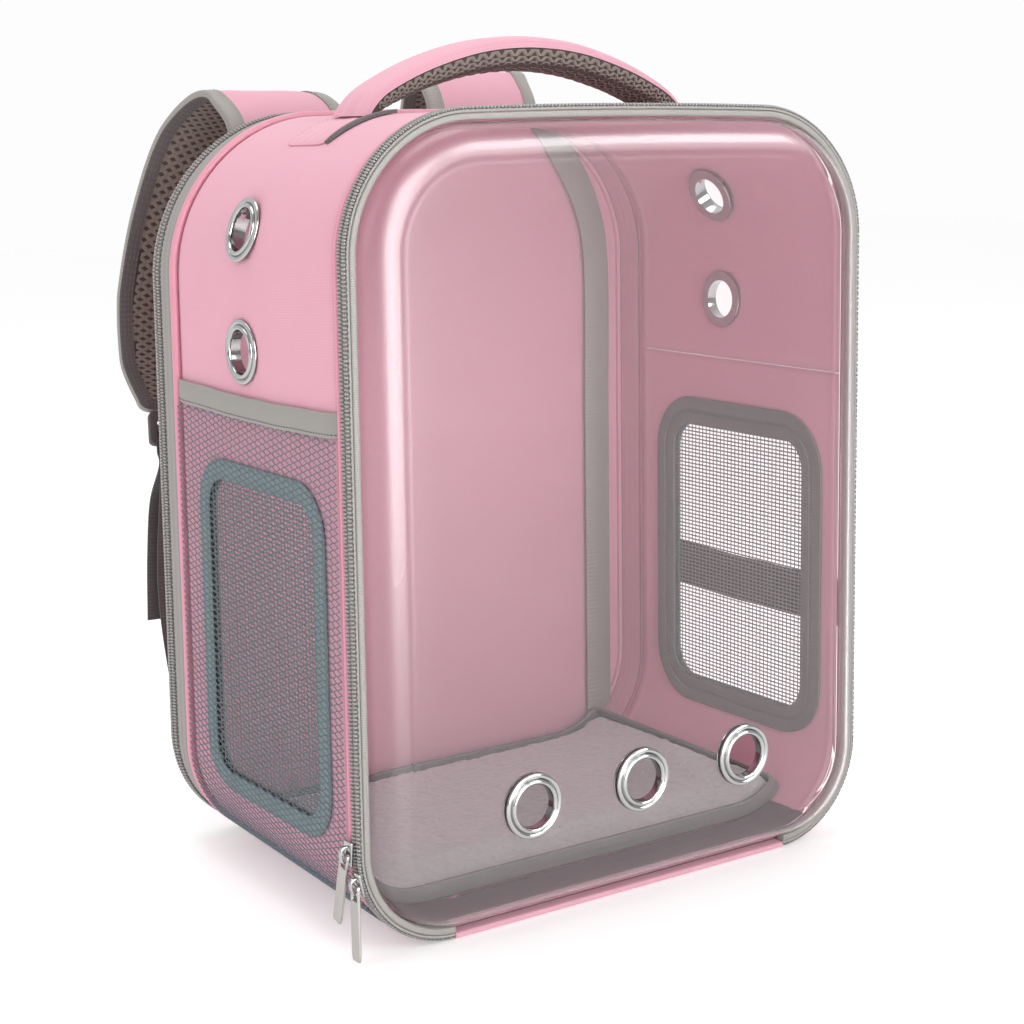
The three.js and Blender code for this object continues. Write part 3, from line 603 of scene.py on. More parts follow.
# Each box: its place, its size, its power in watts, and whether it lights cloth or only shows in gloss
LIGHT_TARGET = Vector((0, 0, 0.22))
SOFTBOXES = [
    ("key_box", (-0.15, -1.5, 1.15), (1.4, 0.7), 9, True),
    ("front_box", (-0.4, -1.65, 0.35), (0.9, 0.7), 6, True),
    ("left_box", (-1.6, -0.1, 0.9), (0.8, 1.0), 2.5, True),
    ("top_box", (0.0, 0.25, 1.8), (1.2, 1.0), 10, True),
    ("left_edge_card", (-0.15, -0.75, 0.39), (0.4, 0.74), 14, False),
    ("front_face_card", (0.7, -1.4, 0.45), (0.5, 0.86), 3, False),
    ("top_edge_card", (0.85, -1.15, 1.15), (0.9, 0.5), 30, False),
]
for name, place, size, power, lights_cloth in SOFTBOXES:
    box = put_in_scene(name, bpy.data.lights.new(name, "AREA"))
    box.data.shape = "RECTANGLE"
    box.data.size, box.data.size_y = size
    box.data.energy = power
    box.visible_camera = False
    box.visible_diffuse = lights_cloth
    box.visible_transmission = lights_cloth
    aim = Vector(place) - LIGHT_TARGET
    box.matrix_world = Matrix.Translation(place) @ aim.to_track_quat("Z", "Y").to_matrix().to_4x4()

FLOOR_REACH = 6
paper = bmesh.new()
bmesh.ops.create_grid(paper, x_segments=1, y_segments=1, size=FLOOR_REACH)
floor = put_in_scene("floor", to_mesh("floor", paper))
floor.data.materials.append(floor_paper)


# Cloth of the top and the sides, drawn in at its seams and a little uneven between them
def seam_pull(value, low, high, reach, depth):
    near = min(value - low, high - value)
    return depth * max(0, 1 - near / reach) ** 2


def slack(along, y):
    wave = noise.noise(Vector((along / 55, y / 55, 3.1)))
    wave += 0.4 * noise.noise(Vector((along / 22, y / 22, 7.7)))
    return FABRIC + 0.3 + 0.3 * max(-1, min(1, wave)) + seam_pull(y, *PANEL, 5, 1.2)


# Each eyelet of the shoulders: its side, its height, and the thickness of what it holds
SIDE_EYELETS = [
    ("left_upper_eyelet", -1, 360, 5.2),
    ("left_lower_eyelet", -1, 296, 3),
    ("right_upper_eyelet", 1, 371, 5.2),
    ("right_lower_eyelet", 1, 305, 3),
]
EYELET_Y = 1
EYELET_HOLE = 13.1
EYELET_BORE = 11.4


def shoulder_distance(hand, z):
    top = radius_at(TOP_RADIUS, EYELET_Y)
    beyond = z - HEIGHT + top
    if beyond > 0:
        return hand * (TOP_SPAN + TOP_TURN * (1 - math.asin(beyond / (top - FABRIC)) / (math.pi / 2)))
    return hand * (TOP_SPAN + TOP_TURN + SHOULDER_SPAN * -beyond / (HEIGHT - top - SIDE_SEAM - SEAM_GAP))


shoulder_seats = {name: shoulder_distance(hand, z) for name, hand, z, wall in SIDE_EYELETS}
top_reach = TOP_SPAN + TOP_TURN + SHOULDER_SPAN
top_cut = cut_cloth((-top_reach, top_reach), PANEL)
for at in shoulder_seats.values():
    open_hole(top_cut, lambda x, y: math.hypot(x - at, y - EYELET_Y) - EYELET_HOLE)
keep_cut(top_cut)
bent(top_cut, lambda along, y, lift: shoulder(along, y, slack(along, y)))
top_cloth = thickened(finished("top_cloth", top_cut, pink_oxford, ["top_panel"]))


def vent_edge(along, y):
    down = abs(abs(along) - VENT_MIDDLE[0]) - VENT_HALF[0] + VENT_RADIUS
    deep = abs(y - VENT_MIDDLE[1]) - VENT_HALF[1] + VENT_RADIUS
    return math.hypot(max(down, 0), max(deep, 0)) + min(max(down, deep), 0) - VENT_RADIUS


vent_corners = rounded_box(VENT_LOW, VENT_HIGH, VENT_RADIUS, 10)
vent_round = walked_line(vent_corners + vent_corners[:1])


def round_vent(hand):
    def place(share, out, inset):
        down, y = pushed_out(vent_round(share), VENT_LOW, VENT_HIGH, VENT_RADIUS, out)
        return flank(hand * down, y, inset)

    return place


VENT_ROUND = 560
VENT_LINING = [(-7, 6.8), (-6.5, 7.4), (0, 7.5), (0.5, 6.8), (1.9, 6.8), (2.4, 7.5), (9.5, 7.5), (10, 7),
               (9.8, 6.4), (-6.8, 6.4)]
NET_PITCH = (2.3, 3.4)
NET_INSET = 4.4
NET_THREAD = (0.95, 0.5)
NET_WAVE = 0.2


def window_net(hand):
    bm = bmesh.new()
    for run in (0, 1):
        step, apart = NET_PITCH[run], NET_PITCH[1 - run]
        count = int((VENT_HALF[1 - run] - 1) / apart)
        for k in range(-count, count + 1):
            over = max(0, abs(k * apart) - VENT_HALF[1 - run] + VENT_RADIUS)
            reach = VENT_HALF[run] - VENT_RADIUS + math.sqrt(VENT_RADIUS ** 2 - over ** 2) - 0.6
            steps = int(reach / step)
            path = []
            for i in range(-steps, steps + 1):
                lift = NET_WAVE if (i + k + run) % 2 else -NET_WAVE
                spot = (VENT_MIDDLE[run] + i * step, VENT_MIDDLE[1 - run] + k * apart)
                path.append((*(spot if run == 0 else spot[::-1]), lift))
            add_thread(bm, path, lambda down, y, lift: flank(hand * down, y, NET_INSET - lift), *NET_THREAD)
    return threads_closed(bm)


for side, hand in SIDES:
    reach = sorted((hand * SEAM_GAP, hand * (FLANK_LENGTH - SEAM_GAP)))
    side_cut = cut_cloth(reach, PANEL)
    open_hole(side_cut, vent_edge)
    keep_cut(side_cut)
    bent(side_cut, lambda along, y, lift: flank(along, y, slack(along, y)))
    cloth = finished(f"{side}_side_cloth", side_cut, pink_oxford, [f"{side}_side_panel"])
    thickened(cloth)
    around = round_vent(hand)
    border = carried(around, rounded_box((-7, 1.7), (4.5, 2.7), 0.45, 2), 160, VENT_ROUND, ring=True)
    finished(f"{side}_vent_tape", border, vent_twill, [f"{side}_window_border"])
    lining = carried(around, VENT_LINING, 160, VENT_ROUND, ring=True)
    finished(f"{side}_vent_lining", lining, dark_binding, [f"{side}_window_lining"])
    sewn(f"{side}_vent_lining_sewing", by_length(around, VENT_ROUND), (0, VENT_ROUND), 1.2, 7,
         dark_thread)
    # The pale net is drawn in grey as painted shade
    net = finished(f"{side}_vent_net", window_net(hand), painted_shade_net_threads, [f"{side}_window_net"])

# Pocket on the left: knitted mesh under a bound mouth. On the right: one band of webbing
POCKET_PITCH = 4.85
POCKET_ROW = 1.75
POCKET_THREAD = (1.5, 0.6)
POCKET_INSET = 0.95
POCKET_TOP = 7.6
POCKET_LENGTH = FLANK_LENGTH - 8.6
POCKET_MARGIN = 2.4
MOUTH_TOP = 274.6
BAND_TOP = 146.8


def on_pocket(down, y, lift):
    return flank(-down, y, POCKET_INSET - lift)


pocket_strands = [(y, POCKET_TOP, POCKET_TOP + POCKET_LENGTH)
                  for y in spaced(PANEL[0] + POCKET_MARGIN, PANEL[1] - POCKET_MARGIN, 36)]
pocket = knitted(on_pocket, pocket_strands, POCKET_ROW, POCKET_PITCH, *POCKET_THREAD)
pocket_net = finished("left_pocket_net", pocket, pocket_threads, ["left_pocket_mesh"])


def straight_side(hand, top):
    def place(share, inset, drop):
        y = lerp(*PANEL, share)
        sag = 1.8 * math.sin(math.pi * share) + 0.5 * noise.noise(Vector((y / 30, 0.4, hand)))
        tucked = min(inset + seam_pull(y, *PANEL, 10, 1.8), 2.7)
        return crowned(hand * (WIDTH / 2 - tucked), y, top - drop - sag)

    return place


on_mouth = straight_side(-1, MOUTH_TOP)
mouth = carried(on_mouth, rounded_box((0.5, 0), (2.6, 13), 1), 60, DEPTH)
finished("left_pocket_mouth", mouth, grey_grosgrain, ["left_pocket_binding"])
sewn("left_pocket_mouth_sewing", lambda along, drop, inset: on_mouth(along / DEPTH, inset, drop),
     (0, DEPTH), 10.9, 0.45, dark_thread)


def on_hem(share, inset, up):
    return flank(up - FLANK_LENGTH, lerp(*PANEL, share), inset)


hem = carried(on_hem, rounded_box((0.35, 0.6), (1.9, 6), 0.5), 40, DEPTH)
finished("left_pocket_hem", hem, grey_grosgrain)
band = carried(straight_side(1, BAND_TOP), rounded_box((0.3, 0), (1.6, 28), 0.6, 2), 60, DEPTH)
finished("right_webbing_band", band, black_webbing, ["right_side_band"])

# Stiff base, the cloth strips at the foot of the door and of the back, and a dark sheet inside the door's
# foot that paints the shade there
BASE_PIECES = [
    ("base_board", "base_panel", (0, PANEL[0]), (5.6, PANEL[1]), 1.5),
    ("door_foot_strip", "door_hinge", (0.5, -112.4), (3.6, -103.7), 1.2),
    ("back_foot_strip", "back_hinge", (0.5, 85.3), (4.1, 108.9), 1.2),
]
base_ends = (HALF_ROUND - BASE_SPAN, HALF_ROUND + BASE_SPAN)
for name, node, low, high, radius in BASE_PIECES:
    strip = carried(round_body(*base_ends), rounded_box(low, high, radius), 40, 2 * BASE_SPAN)
    finished(name, strip, pink_oxford, [node])

SHADE_SHEET_REACH = 30
shade_sheet_round = round_body(base_ends[0] - SHADE_SHEET_REACH, base_ends[1] + SHADE_SHEET_REACH)


def foot_shade_section(share):
    lift = 1.6 * min(1, max(0, abs(share - 0.5) * 2 - 0.66) / 0.2)
    return rounded_box((5.8 + lift, -104.4), (6.4 + lift, -76), 0.25, 1)


# A dark sheet that paints the shade on the floor between the mat and the door
foot_shade_sheet = carried(shade_sheet_round, foot_shade_section, 60, 2 * (BASE_SPAN + SHADE_SHEET_REACH))
finished("door_foot_painted_shade", foot_shade_sheet, door_foot_shade_cloth)


# Dished panels: rings of insets and depths round the body, closed by a flat face with round holes
def dished_panel(rows, steps, holes=()):
    bm = bmesh.new()
    bmesh.ops.create_grid(bm, x_segments=steps, y_segments=len(rows) - 1, size=0.5)
    for vert in bm.verts:
        inset, y = rows[round((vert.co.y + 0.5) * (len(rows) - 1))]
        vert.co = outline(lerp(-HALF_ROUND, HALF_ROUND, vert.co.x + 0.5), y, inset)
    bmesh.ops.remove_doubles(bm, verts=bm.verts, dist=0.01)
    face = rows[-1][1]
    open_edges = [edge for edge in bm.edges if edge.is_boundary]
    rim = [edge for edge in open_edges if all(abs(v.co.y - face) < 0.01 for v in edge.verts)]
    for x, z, radius in holes:
        lie = Matrix.Translation((x, face, z)) @ Matrix.Rotation(math.pi / 2, 4, "X")
        ring = bmesh.ops.create_circle(bm, segments=48, radius=radius, matrix=lie)["verts"]
        rim += list({edge for vert in ring for edge in vert.link_edges})
    bmesh.ops.triangle_fill(bm, edges=rim, use_beauty=True, use_dissolve=False)
    bmesh.ops.recalc_face_normals(bm, faces=bm.faces)
    if sum(f.normal.y * f.calc_area() for f in bm.faces) * face < 0:
        bmesh.ops.reverse_faces(bm, faces=bm.faces)
    cut = bm.loops.layers.uv.new("cut")
    for flat in bm.faces:
        for loop in flat.loops:
            loop[cut].uv = (loop.vert.co.x * MM, loop.vert.co.z * MM)
    return bm


# The window: a flange, a rounded bulge, a shallow groove and a flat face
WINDOW_WALL = 1.3
WINDOW_FACE = -124.5
WINDOW_ROWS = [(4.3, -107.1), (7.6, -107.1)]
for turn in spaced(0, 1.36, 18):
    WINDOW_ROWS.append((8 + 20 * (1 - math.cos(turn) ** 0.9), -107.5 - 16.9 * math.sin(turn) ** 0.9))
WINDOW_ROWS += [(24.6, -124.36), (25.5, -124.4), (26.4, -124.24), (27.4, -124.22), (28.3, -124.4)]
WINDOW_ROWS += [(29.4, WINDOW_FACE), (46, WINDOW_FACE)]
DOOR_EYELETS = [("left_door_eyelet", -70), ("middle_door_eyelet", 0), ("right_door_eyelet", 70)]
DOOR_EYELET_Z = 66
door_holes = [(x, DOOR_EYELET_Z, EYELET_HOLE) for name, x in DOOR_EYELETS]
dome = walled(dished_panel(WINDOW_ROWS, 260, door_holes), WINDOW_WALL)
finished("clear_window", dome, clear_sheet, ["window"], sharp=50)

# The back, and the tape over its seam, which ends where it meets the top and the base
BACK_WALL = 2.6
BACK_ROWS = [(4.7, 104.2), (4.7, 107.2), (5.3, 108.4), (7, 108.9), (12, 108.95), (40, 109)]
back = walled(dished_panel(BACK_ROWS, 200), BACK_WALL)
finished("back_board", back, pink_oxford, ["back_panel"])
SEAM_Y = 103.2
SEAM_ROUTE = [(140.5, 6), (140.5, 125), (140.5, 225), (140.5, 322), (137.5, 345), (130, 366), (121, 382),
              (114, 393), (105, 407), (97, 419.5)]
SEAM_ENDS = [((102.8, SEAM_Y, 408.8), (0.32, 0, 0.95)), ((140.5, SEAM_Y, 21.5), (0.667, 0, -0.745))]
seam_line = smooth_line([Vector((x, SEAM_Y, z)) for x, z in SEAM_ROUTE])
seam_tape = carried(on_ribbon(seam_line, SIDEWAYS), rounded_box((-9.5, -0.5), (9.5, 0.5), 0.45, 2), 100, 420)
for at, facing in SEAM_ENDS:
    cut_off(seam_tape, at, facing)
finished("back_seam_cover", seam_tape, grey_grosgrain, ["back_seam_tape"])


# Eyelets: a rolled rim and a flange spun from their section, with a flat washer inside the cloth
def fit_eyelet(name, place, wall):
    bm = bmesh.new()
    low = -wall - 0.4
    rim = [(12.75 - 1.35 * math.cos(a), 0.9 + 1.9 * math.sin(a)) for a in spaced(0, math.pi, 8)]
    flange = [(15.75 - 1.45 * math.cos(a), 0.6 + 1.3 * math.sin(a)) for a in spaced(0.35, math.pi, 7)]
    section = [(EYELET_BORE, low - 1.1), *rim, *flange, (17.1, 0.35), (12.6, 0.3), (12.6, low), (16.9, low),
               (17.2, low - 0.3), (17.2, low - 0.9), (16.9, low - 1.2), (12.1, low - 1.2)]
    verts = [bm.verts.new((r, 0, h)) for r, h in section]
    edges = [bm.edges.new(pair) for pair in zip(verts, verts[1:] + verts[:1])]
    bmesh.ops.spin(bm, geom=verts + edges, cent=(0, 0, 0), axis=(0, 0, 1), angle=2 * math.pi, steps=72,
                   use_merge=True)
    bmesh.ops.remove_doubles(bm, verts=bm.verts, dist=0.005)
    bmesh.ops.recalc_face_normals(bm, faces=bm.faces)
    bm.transform(place)
    finished(name.replace("eyelet", "air_ring"), bm, bright_steel, [name])


for name, hand, z, wall in SIDE_EYELETS:
    fit_eyelet(name, seat(shoulder, shoulder_seats[name], EYELET_Y, FABRIC), wall)
for name, x in DOOR_EYELETS:
    facing = Matrix.Translation((x, WINDOW_FACE, DOOR_EYELET_Z)) @ Matrix.Rotation(math.pi / 2, 4, "X")
    fit_eyelet(name, facing, WINDOW_WALL)


# Piping rings, zips and the bound edge of the door
def round_section(y, radius, sides=10):
    angles = spaced(0, 2 * math.pi, sides)[:-1]
    return [(FABRIC - radius * math.cos(a), y + radius * math.sin(a)) for a in angles]


whole_round = round_body(-HALF_ROUND, HALF_ROUND)
for name, y, radius in (("front", -101.7, 1.6), ("back", 82.4, 2.5)):
    cord = carried(whole_round, round_section(y, radius), 320, 2 * HALF_ROUND, ring=True)
    finished(f"{name}_piping_cord", cord, pink_cord, [f"{name}_piping"])

ZIP_PITCH = 1.9
sewn_round = round_body(-SEWN_END, SEWN_END)


def zip_line(name, first, last, coil, inner):
    tape = carried(sewn_round, rounded_box((2.2, first), (inner, last), 0.4, 2), 300, 2 * SEWN_END)
    finished(f"{name}_zip_tape", tape, zip_tape_cloth, [f"{name}_zip"])
    seats = []
    for k in range(int(2 * SEWN_END / ZIP_PITCH)):
        for row in (-1, 1):
            along = -SEWN_END + (k + 0.5 + row * 0.25) * ZIP_PITCH
            seats.append(seat(outline, along, coil + row * 2.1, 1.5))
    finished(f"{name}_zip_coil", repeated(bead(1.6, 3.8, 1.9), seats), zip_nylon, sharp=180)
    for row, side in ((-1, "front"), (1, "back")):
        sewn(f"{name}_zip_{side}_sewing", outline, (-SEWN_END, SEWN_END), coil + row * 4.1, 2.1,
             dark_thread)


zip_line("front", -112.3, -103.6, -108.4, 3.7)
zip_line("back", 85.2, 109, 102.5, 4.2)
zip_facing = carried(sewn_round, rounded_box((4.3, 85.4), (4.65, 103.8), 0.15, 1), 300, 2 * SEWN_END)
finished("back_zip_facing", zip_facing, pink_oxford)
door_edge = carried(sewn_round, rounded_box((3.9, -112.8), (7.5, -107.5), 1.1, 4), 300, 2 * SEWN_END)
finished("door_bound_edge", door_edge, grey_grosgrain, ["door_binding"])


# Floor mat: a padded sheet swollen by a cloth simulation and bound along its edge
def plumped(bm, voxel, pressure, cap):
    bmesh.ops.scale(bm, vec=(MM, MM, MM), verts=bm.verts)
    mesh = to_mesh("mat start", bm)
    blank = put_in_scene("mat start", mesh)
    remesh = blank.modifiers.new("voxels", "REMESH")
    remesh.mode = "VOXEL"
    remesh.voxel_size = voxel * MM
    shaped = bpy.data.meshes.new_from_object(blank.evaluated_get(bpy.context.evaluated_depsgraph_get()))
    blank.modifiers.clear()
    blank.data = shaped
    bpy.data.meshes.remove(mesh)
    rest = [vert.co.copy() for vert in shaped.vertices]
    under = blank.vertex_groups.new(name="under")
    under.add([v.index for v in shaped.vertices if v.normal.z < 0.3], 1, "REPLACE")
    cloth = blank.modifiers.new("cloth", "CLOTH")
    cloth.settings.vertex_group_mass = "under"
    cloth.settings.use_pressure = True
    cloth.settings.uniform_pressure_force = pressure
    cloth.settings.effector_weights.gravity = 0
    for step in range(1, 21):
        bpy.context.scene.frame_set(step)
    swollen = blank.evaluated_get(bpy.context.evaluated_depsgraph_get())
    moved = [vert.co.copy() for vert in swollen.data.vertices]
    bpy.context.scene.frame_set(1)
    for vert, start, end in zip(shaped.vertices, rest, moved):
        shift = end - start
        vert.co = start + shift * min(1, cap * MM / max(shift.length, 1e-9))
    result = bmesh.new()
    result.from_mesh(shaped)
    bpy.data.objects.remove(blank)
    bpy.data.meshes.remove(shaped)
    bmesh.ops.scale(result, vec=(1 / MM, 1 / MM, 1 / MM), verts=result.verts)
    return result


MAT_REACH = BASE_SPAN + BASE_TURN * 0.45
MAT_LOW = (-MAT_REACH - 1.6, -73.6)
MAT_HIGH = (MAT_REACH + 1.6, 99.6)
MAT_RADIUS = 4
mat_round = round_body(HALF_ROUND - MAT_REACH + 1, HALF_ROUND + MAT_REACH - 1)
mat_start = carried(mat_round, rounded_box((6.9, -71.5), (15.5, 97.5), 3.5), 60, 2 * MAT_REACH)
swollen_mat = plumped(mat_start, voxel=5, pressure=4, cap=5)
mat = finished("mat_cushion", swollen_mat, mat_plush, ["mat"], sharp=180)
pile = mat.modifiers.new("pile", "SUBSURF")
pile.levels = 2
pile.render_levels = 2
tufts = mat.modifiers.new("tufts", "DISPLACE")
tufts.texture = bpy.data.textures.new("tufts", "CLOUDS")
tufts.texture.noise_scale = 0.005
tufts.strength = 2.2 * MM

mat_corners = rounded_box(MAT_LOW, MAT_HIGH, MAT_RADIUS, 4)
mat_edge = walked_line(mat_corners + mat_corners[:1])


def round_mat(share, out, inset):
    across, y = pushed_out(mat_edge(share), MAT_LOW, MAT_HIGH, MAT_RADIUS, out)
    return outline(HALF_ROUND + across, y, inset)


mat_tape = carried(round_mat, rounded_box((-1.4, 6.6), (1.6, 16), 1.2), 240, 960, ring=True)
finished("mat_bound_edge", mat_tape, dark_binding, ["mat_binding"])

# Carrying handle: a rounded cover over a mesh pad, gathered where it meets the shoulders
HANDLE_ROWS = [(-104, 399, 4, 3), (-101, 412, 5.5, 4.5), (-93, 421.5, 7, 6), (-77, 430.3, 8, 7.5),
               (-56, 438.4, 8.8, 8.6), (-30, 445, 9.3, 9.3), (0, 447.5, 9.5, 9.6)]
HANDLE_ROWS += [(-x, z, cover, pad) for x, z, cover, pad in reversed(HANDLE_ROWS[:-1])]
HANDLE_Y = -14
HANDLE_HALF = 18
HANDLE_FOOT = 414.6
HANDLE_SPLIT = 2.8
HANDLE_FLAT = (0.6, 0.2, -0.2, -0.6)
PAD_TOP = HANDLE_SPLIT - 0.4
PAD_NET_FOOT = 419
handle_line = smooth_line([Vector((x, HANDLE_Y, z)) for x, z, cover, pad in HANDLE_ROWS])
handle_length = line_length(handle_line)


def handle_bow(s, depth, squareness):
    return depth * max(0, 1 - abs(s) ** squareness) ** (1 / squareness)


def cover_section(share):
    depth = read_row(HANDLE_ROWS, share)[2]
    gather = max(0, abs(share - 0.5) * 2 - 0.6) / 0.4
    top = []
    for s in spaced(-1, 1, 24):
        pleat = 1.3 * gather * math.cos(s * 8 + 0.9) * (1 - s * s)
        lift = handle_bow(s, depth - HANDLE_SPLIT, 2.6) + pleat
        top.append((s * (HANDLE_HALF + 1.5 * gather), HANDLE_SPLIT + lift))
    return top + [(s * HANDLE_HALF, HANDLE_SPLIT - 0.05) for s in HANDLE_FLAT]


def pad_section(share):
    depth = read_row(HANDLE_ROWS, share)[3] + PAD_TOP - 0.8
    low = [(s * (HANDLE_HALF - 0.8), PAD_TOP - handle_bow(s, depth, 2.8)) for s in spaced(-1, 1, 24)]
    return low + [(s * HANDLE_HALF, PAD_TOP) for s in HANDLE_FLAT]


on_handle = on_ribbon(handle_line, FORWARD)


def handle_layer(section):
    return cut_off(carried(on_handle, section, 90, handle_length), (0, 0, HANDLE_FOOT), (0, 0, -1))


finished("handle_top_cover", handle_layer(cover_section), pink_oxford, ["handle_cover"])
foam = finished("handle_foam", handle_layer(pad_section), air_foam, ["handle_pad"])


def on_handle_pad(along, round_pad, lift):
    share = along / handle_length
    depth = read_row(HANDLE_ROWS, share)[3] + PAD_TOP - 0.8
    angle = round_pad / 22
    low = depth * max(0, math.cos(angle)) ** 0.72
    return on_handle(share, math.sin(angle) * (HANDLE_HALF - 0.5 + lift), PAD_TOP - 0.2 - low - lift)


handle_strands = []
runs = spaced(0, handle_length, 150)
for across in spaced(-32, 32, 12):
    clear = [run for run in runs if on_handle_pad(run, across, 0).z > PAD_NET_FOOT]
    handle_strands.append((across, clear[0], clear[-1]))
handle_net = knitted(on_handle_pad, handle_strands, 2.9, 5.33, 2.1, 0.8, hold=0.5)
finished("handle_air_mesh", handle_net, air_threads)

# Patches that the handle is sewn to, each with a folded tape along its front edge
PATCH_ENDS = (TOP_SPAN + TOP_TURN * 0.02, TOP_SPAN + TOP_TURN * 0.4)
PATCH_LENGTH = PATCH_ENDS[1] - PATCH_ENDS[0]
PATCH_HALF = 25
PATCH_CORNER = 9


def patch_section(share):
    over = max(0, PATCH_CORNER - min(share, 1 - share) * PATCH_LENGTH)
    half = PATCH_HALF - PATCH_CORNER + math.sqrt(PATCH_CORNER ** 2 - over ** 2)
    return rounded_box((2.4, HANDLE_Y - half), (3.1, HANDLE_Y + half), 0.3)


def fold_section(share):
    half = 0.5 + 2.2 * math.sin(math.pi * share) ** 0.8
    return rounded_box((0.9, HANDLE_Y - PATCH_HALF - half), (2.9, HANDLE_Y - PATCH_HALF + half), 0.45)


for side, hand in SIDES:
    on_patch = round_body(*(hand * end for end in PATCH_ENDS))
    patch = carried(on_patch, patch_section, 40, PATCH_LENGTH)
    finished(f"{side}_handle_patch", patch, pink_oxford, [f"{side}_handle_tab"])
    fold = carried(on_patch, fold_section, 40, PATCH_LENGTH)
    finished(f"{side}_handle_patch_fold", fold, dark_webbing)
    ends = (hand * (PATCH_ENDS[0] + 5), hand * (PATCH_ENDS[1] - 5))
    for edge in (-1, 1):
        sewn(f"{side}_handle_patch_sewing_{edge + 2}", outline, ends, HANDLE_Y + edge * (PATCH_HALF - 4), 2.4,
             pink_thread)

# Shoulder straps: a padded cover over a mesh pad, bound along both edges and round the tip
STRAPS = {
    "left": [(-66, 114.6, 366, 80), (-67, 115.5, 392, 80), (-70, 126, 418, 80), (-75, 147, 427, 80),
             (-86, 176, 406, 80), (-99, 193, 356, 80), (-111, 194, 303, 78), (-120, 182, 264, 68),
             (-127, 165, 240, 44)],
    "right": [(66, 114.6, 366, 80), (67, 115.8, 396, 80), (69, 127, 427, 80), (74, 150, 439, 80),
              (85, 181, 416, 80), (98, 197, 362, 80), (111, 197, 305, 78), (120, 184, 265, 68),
              (127, 166, 240, 44)],
}
WEBBING_ROUTE = [(-133, 155, 185), (-134, 159, 140), (-133, 153, 96), (-132, 143, 68), (-131, 129, 57),
                 (-130, 116, 62), (-130, 110.6, 80), (-130, 110.3, 98)]
TAIL_ROUTE = [(-134.5, 164, 190), (-136, 168, 155), (-137, 169, 116)]
BUCKLE_LOOP = [(31, -1.8), (23, -3.1), (14, -3.4), (8.4, -2.9), (7.1, 0), (8.4, 2.9), (14, 3.4), (23, 3.1),
               (31, 1.8)]
WEBBING_HALF = 12.5
WEBBING_LIFT = 0.8
STRAP_CORNER = 7
STRAP_EDGE = 4.6
STRAP_EDGE_TOP = [(10, 3.55), (6, 3.05), (3, 2.75), (1, 2.2), (0.2, 1.2), (0, 0), (0.2, -1.2), (0.9, -2),
                  (1.5, -1.5), (0.8, -0.8), (0.65, 0), (0.8, 0.8), (1.6, 1.6), (3, 2.2), (6, 2.5), (10, 3.05)]
STRAP_EDGE_UNDER = [(0.7, -1.9), (3, -2.85), (6, -3.15), (8.5, -3.6), (8.5, -3.1), (6, -2.6), (3, -2.3),
                    (1.3, -1.6)]


# A plate with slots: a grid of columns and rows with the listed cells left out, then given its thickness
def slotted_plate(columns, rows, slots):
    bm = bmesh.new()
    across, down = len(columns) - 1, len(rows) - 1
    bmesh.ops.create_grid(bm, x_segments=across, y_segments=down, size=0.5)
    for vert in bm.verts:
        vert.co = (columns[round((vert.co.x + 0.5) * across)], rows[round((vert.co.y + 0.5) * down)], 0)
    middles = [(columns[i] + columns[i + 1], rows[j] + rows[j + 1]) for i, j in slots]
    cells = [f for f in bm.faces for x, y in middles
             if (f.calc_center_median().xy * 2 - Vector((x, y))).length < 0.01]
    bmesh.ops.delete(bm, geom=cells, context="FACES")
    return bm


def plate_corners(bm, height, radius, segments):
    reach = max(v.co.x for v in bm.verts)
    corners = [v for v in bm.verts if abs(v.co.x) > reach - 0.01 and abs(v.co.y - height) < 0.01]
    bmesh.ops.bevel(bm, geom=corners, affect="VERTICES", offset=radius, segments=segments, profile=0.5,
                    material=-1)


def plate_wall(bm, wall, edge):
    bmesh.ops.solidify(bm, geom=bm.faces[:], thickness=wall)
    bmesh.ops.recalc_face_normals(bm, faces=bm.faces)
    middle = (min(v.co.z for v in bm.verts) + max(v.co.z for v in bm.verts)) / 2
    bmesh.ops.translate(bm, vec=(0, 0, -middle), verts=bm.verts)
    edges = [e for e in bm.edges if e.calc_face_angle(0) > 1]
    bmesh.ops.bevel(bm, geom=edges, affect="EDGES", offset=edge, segments=3, profile=0.5, material=-1)


def ladder_buckle(tip):
    at, ahead, beside, up = tip
    bm = slotted_plate((-18, -13, 13, 18), (0.4, 5.4, 8.9, 13.9, 17.4, 22.4), [(1, 1), (1, 3)])
    for height in (0.4, 22.4):
        plate_corners(bm, height, 3, 5)
    plate_wall(bm, 4, 0.8)
    bm.transform(Matrix.Translation(at) @ axes(beside, ahead, up))
    return bm


def webbing_line(tip, hand):
    at, ahead, beside, up = tip
    loop = [at + ahead * along + up * lift for along, lift in BUCKLE_LOOP]
    lower, tail = ([Vector((-hand * x, y, z)) for x, y, z in route] for route in (WEBBING_ROUTE, TAIL_ROUTE))
    return evened(smooth_line(lower[::-1] + loop + tail))


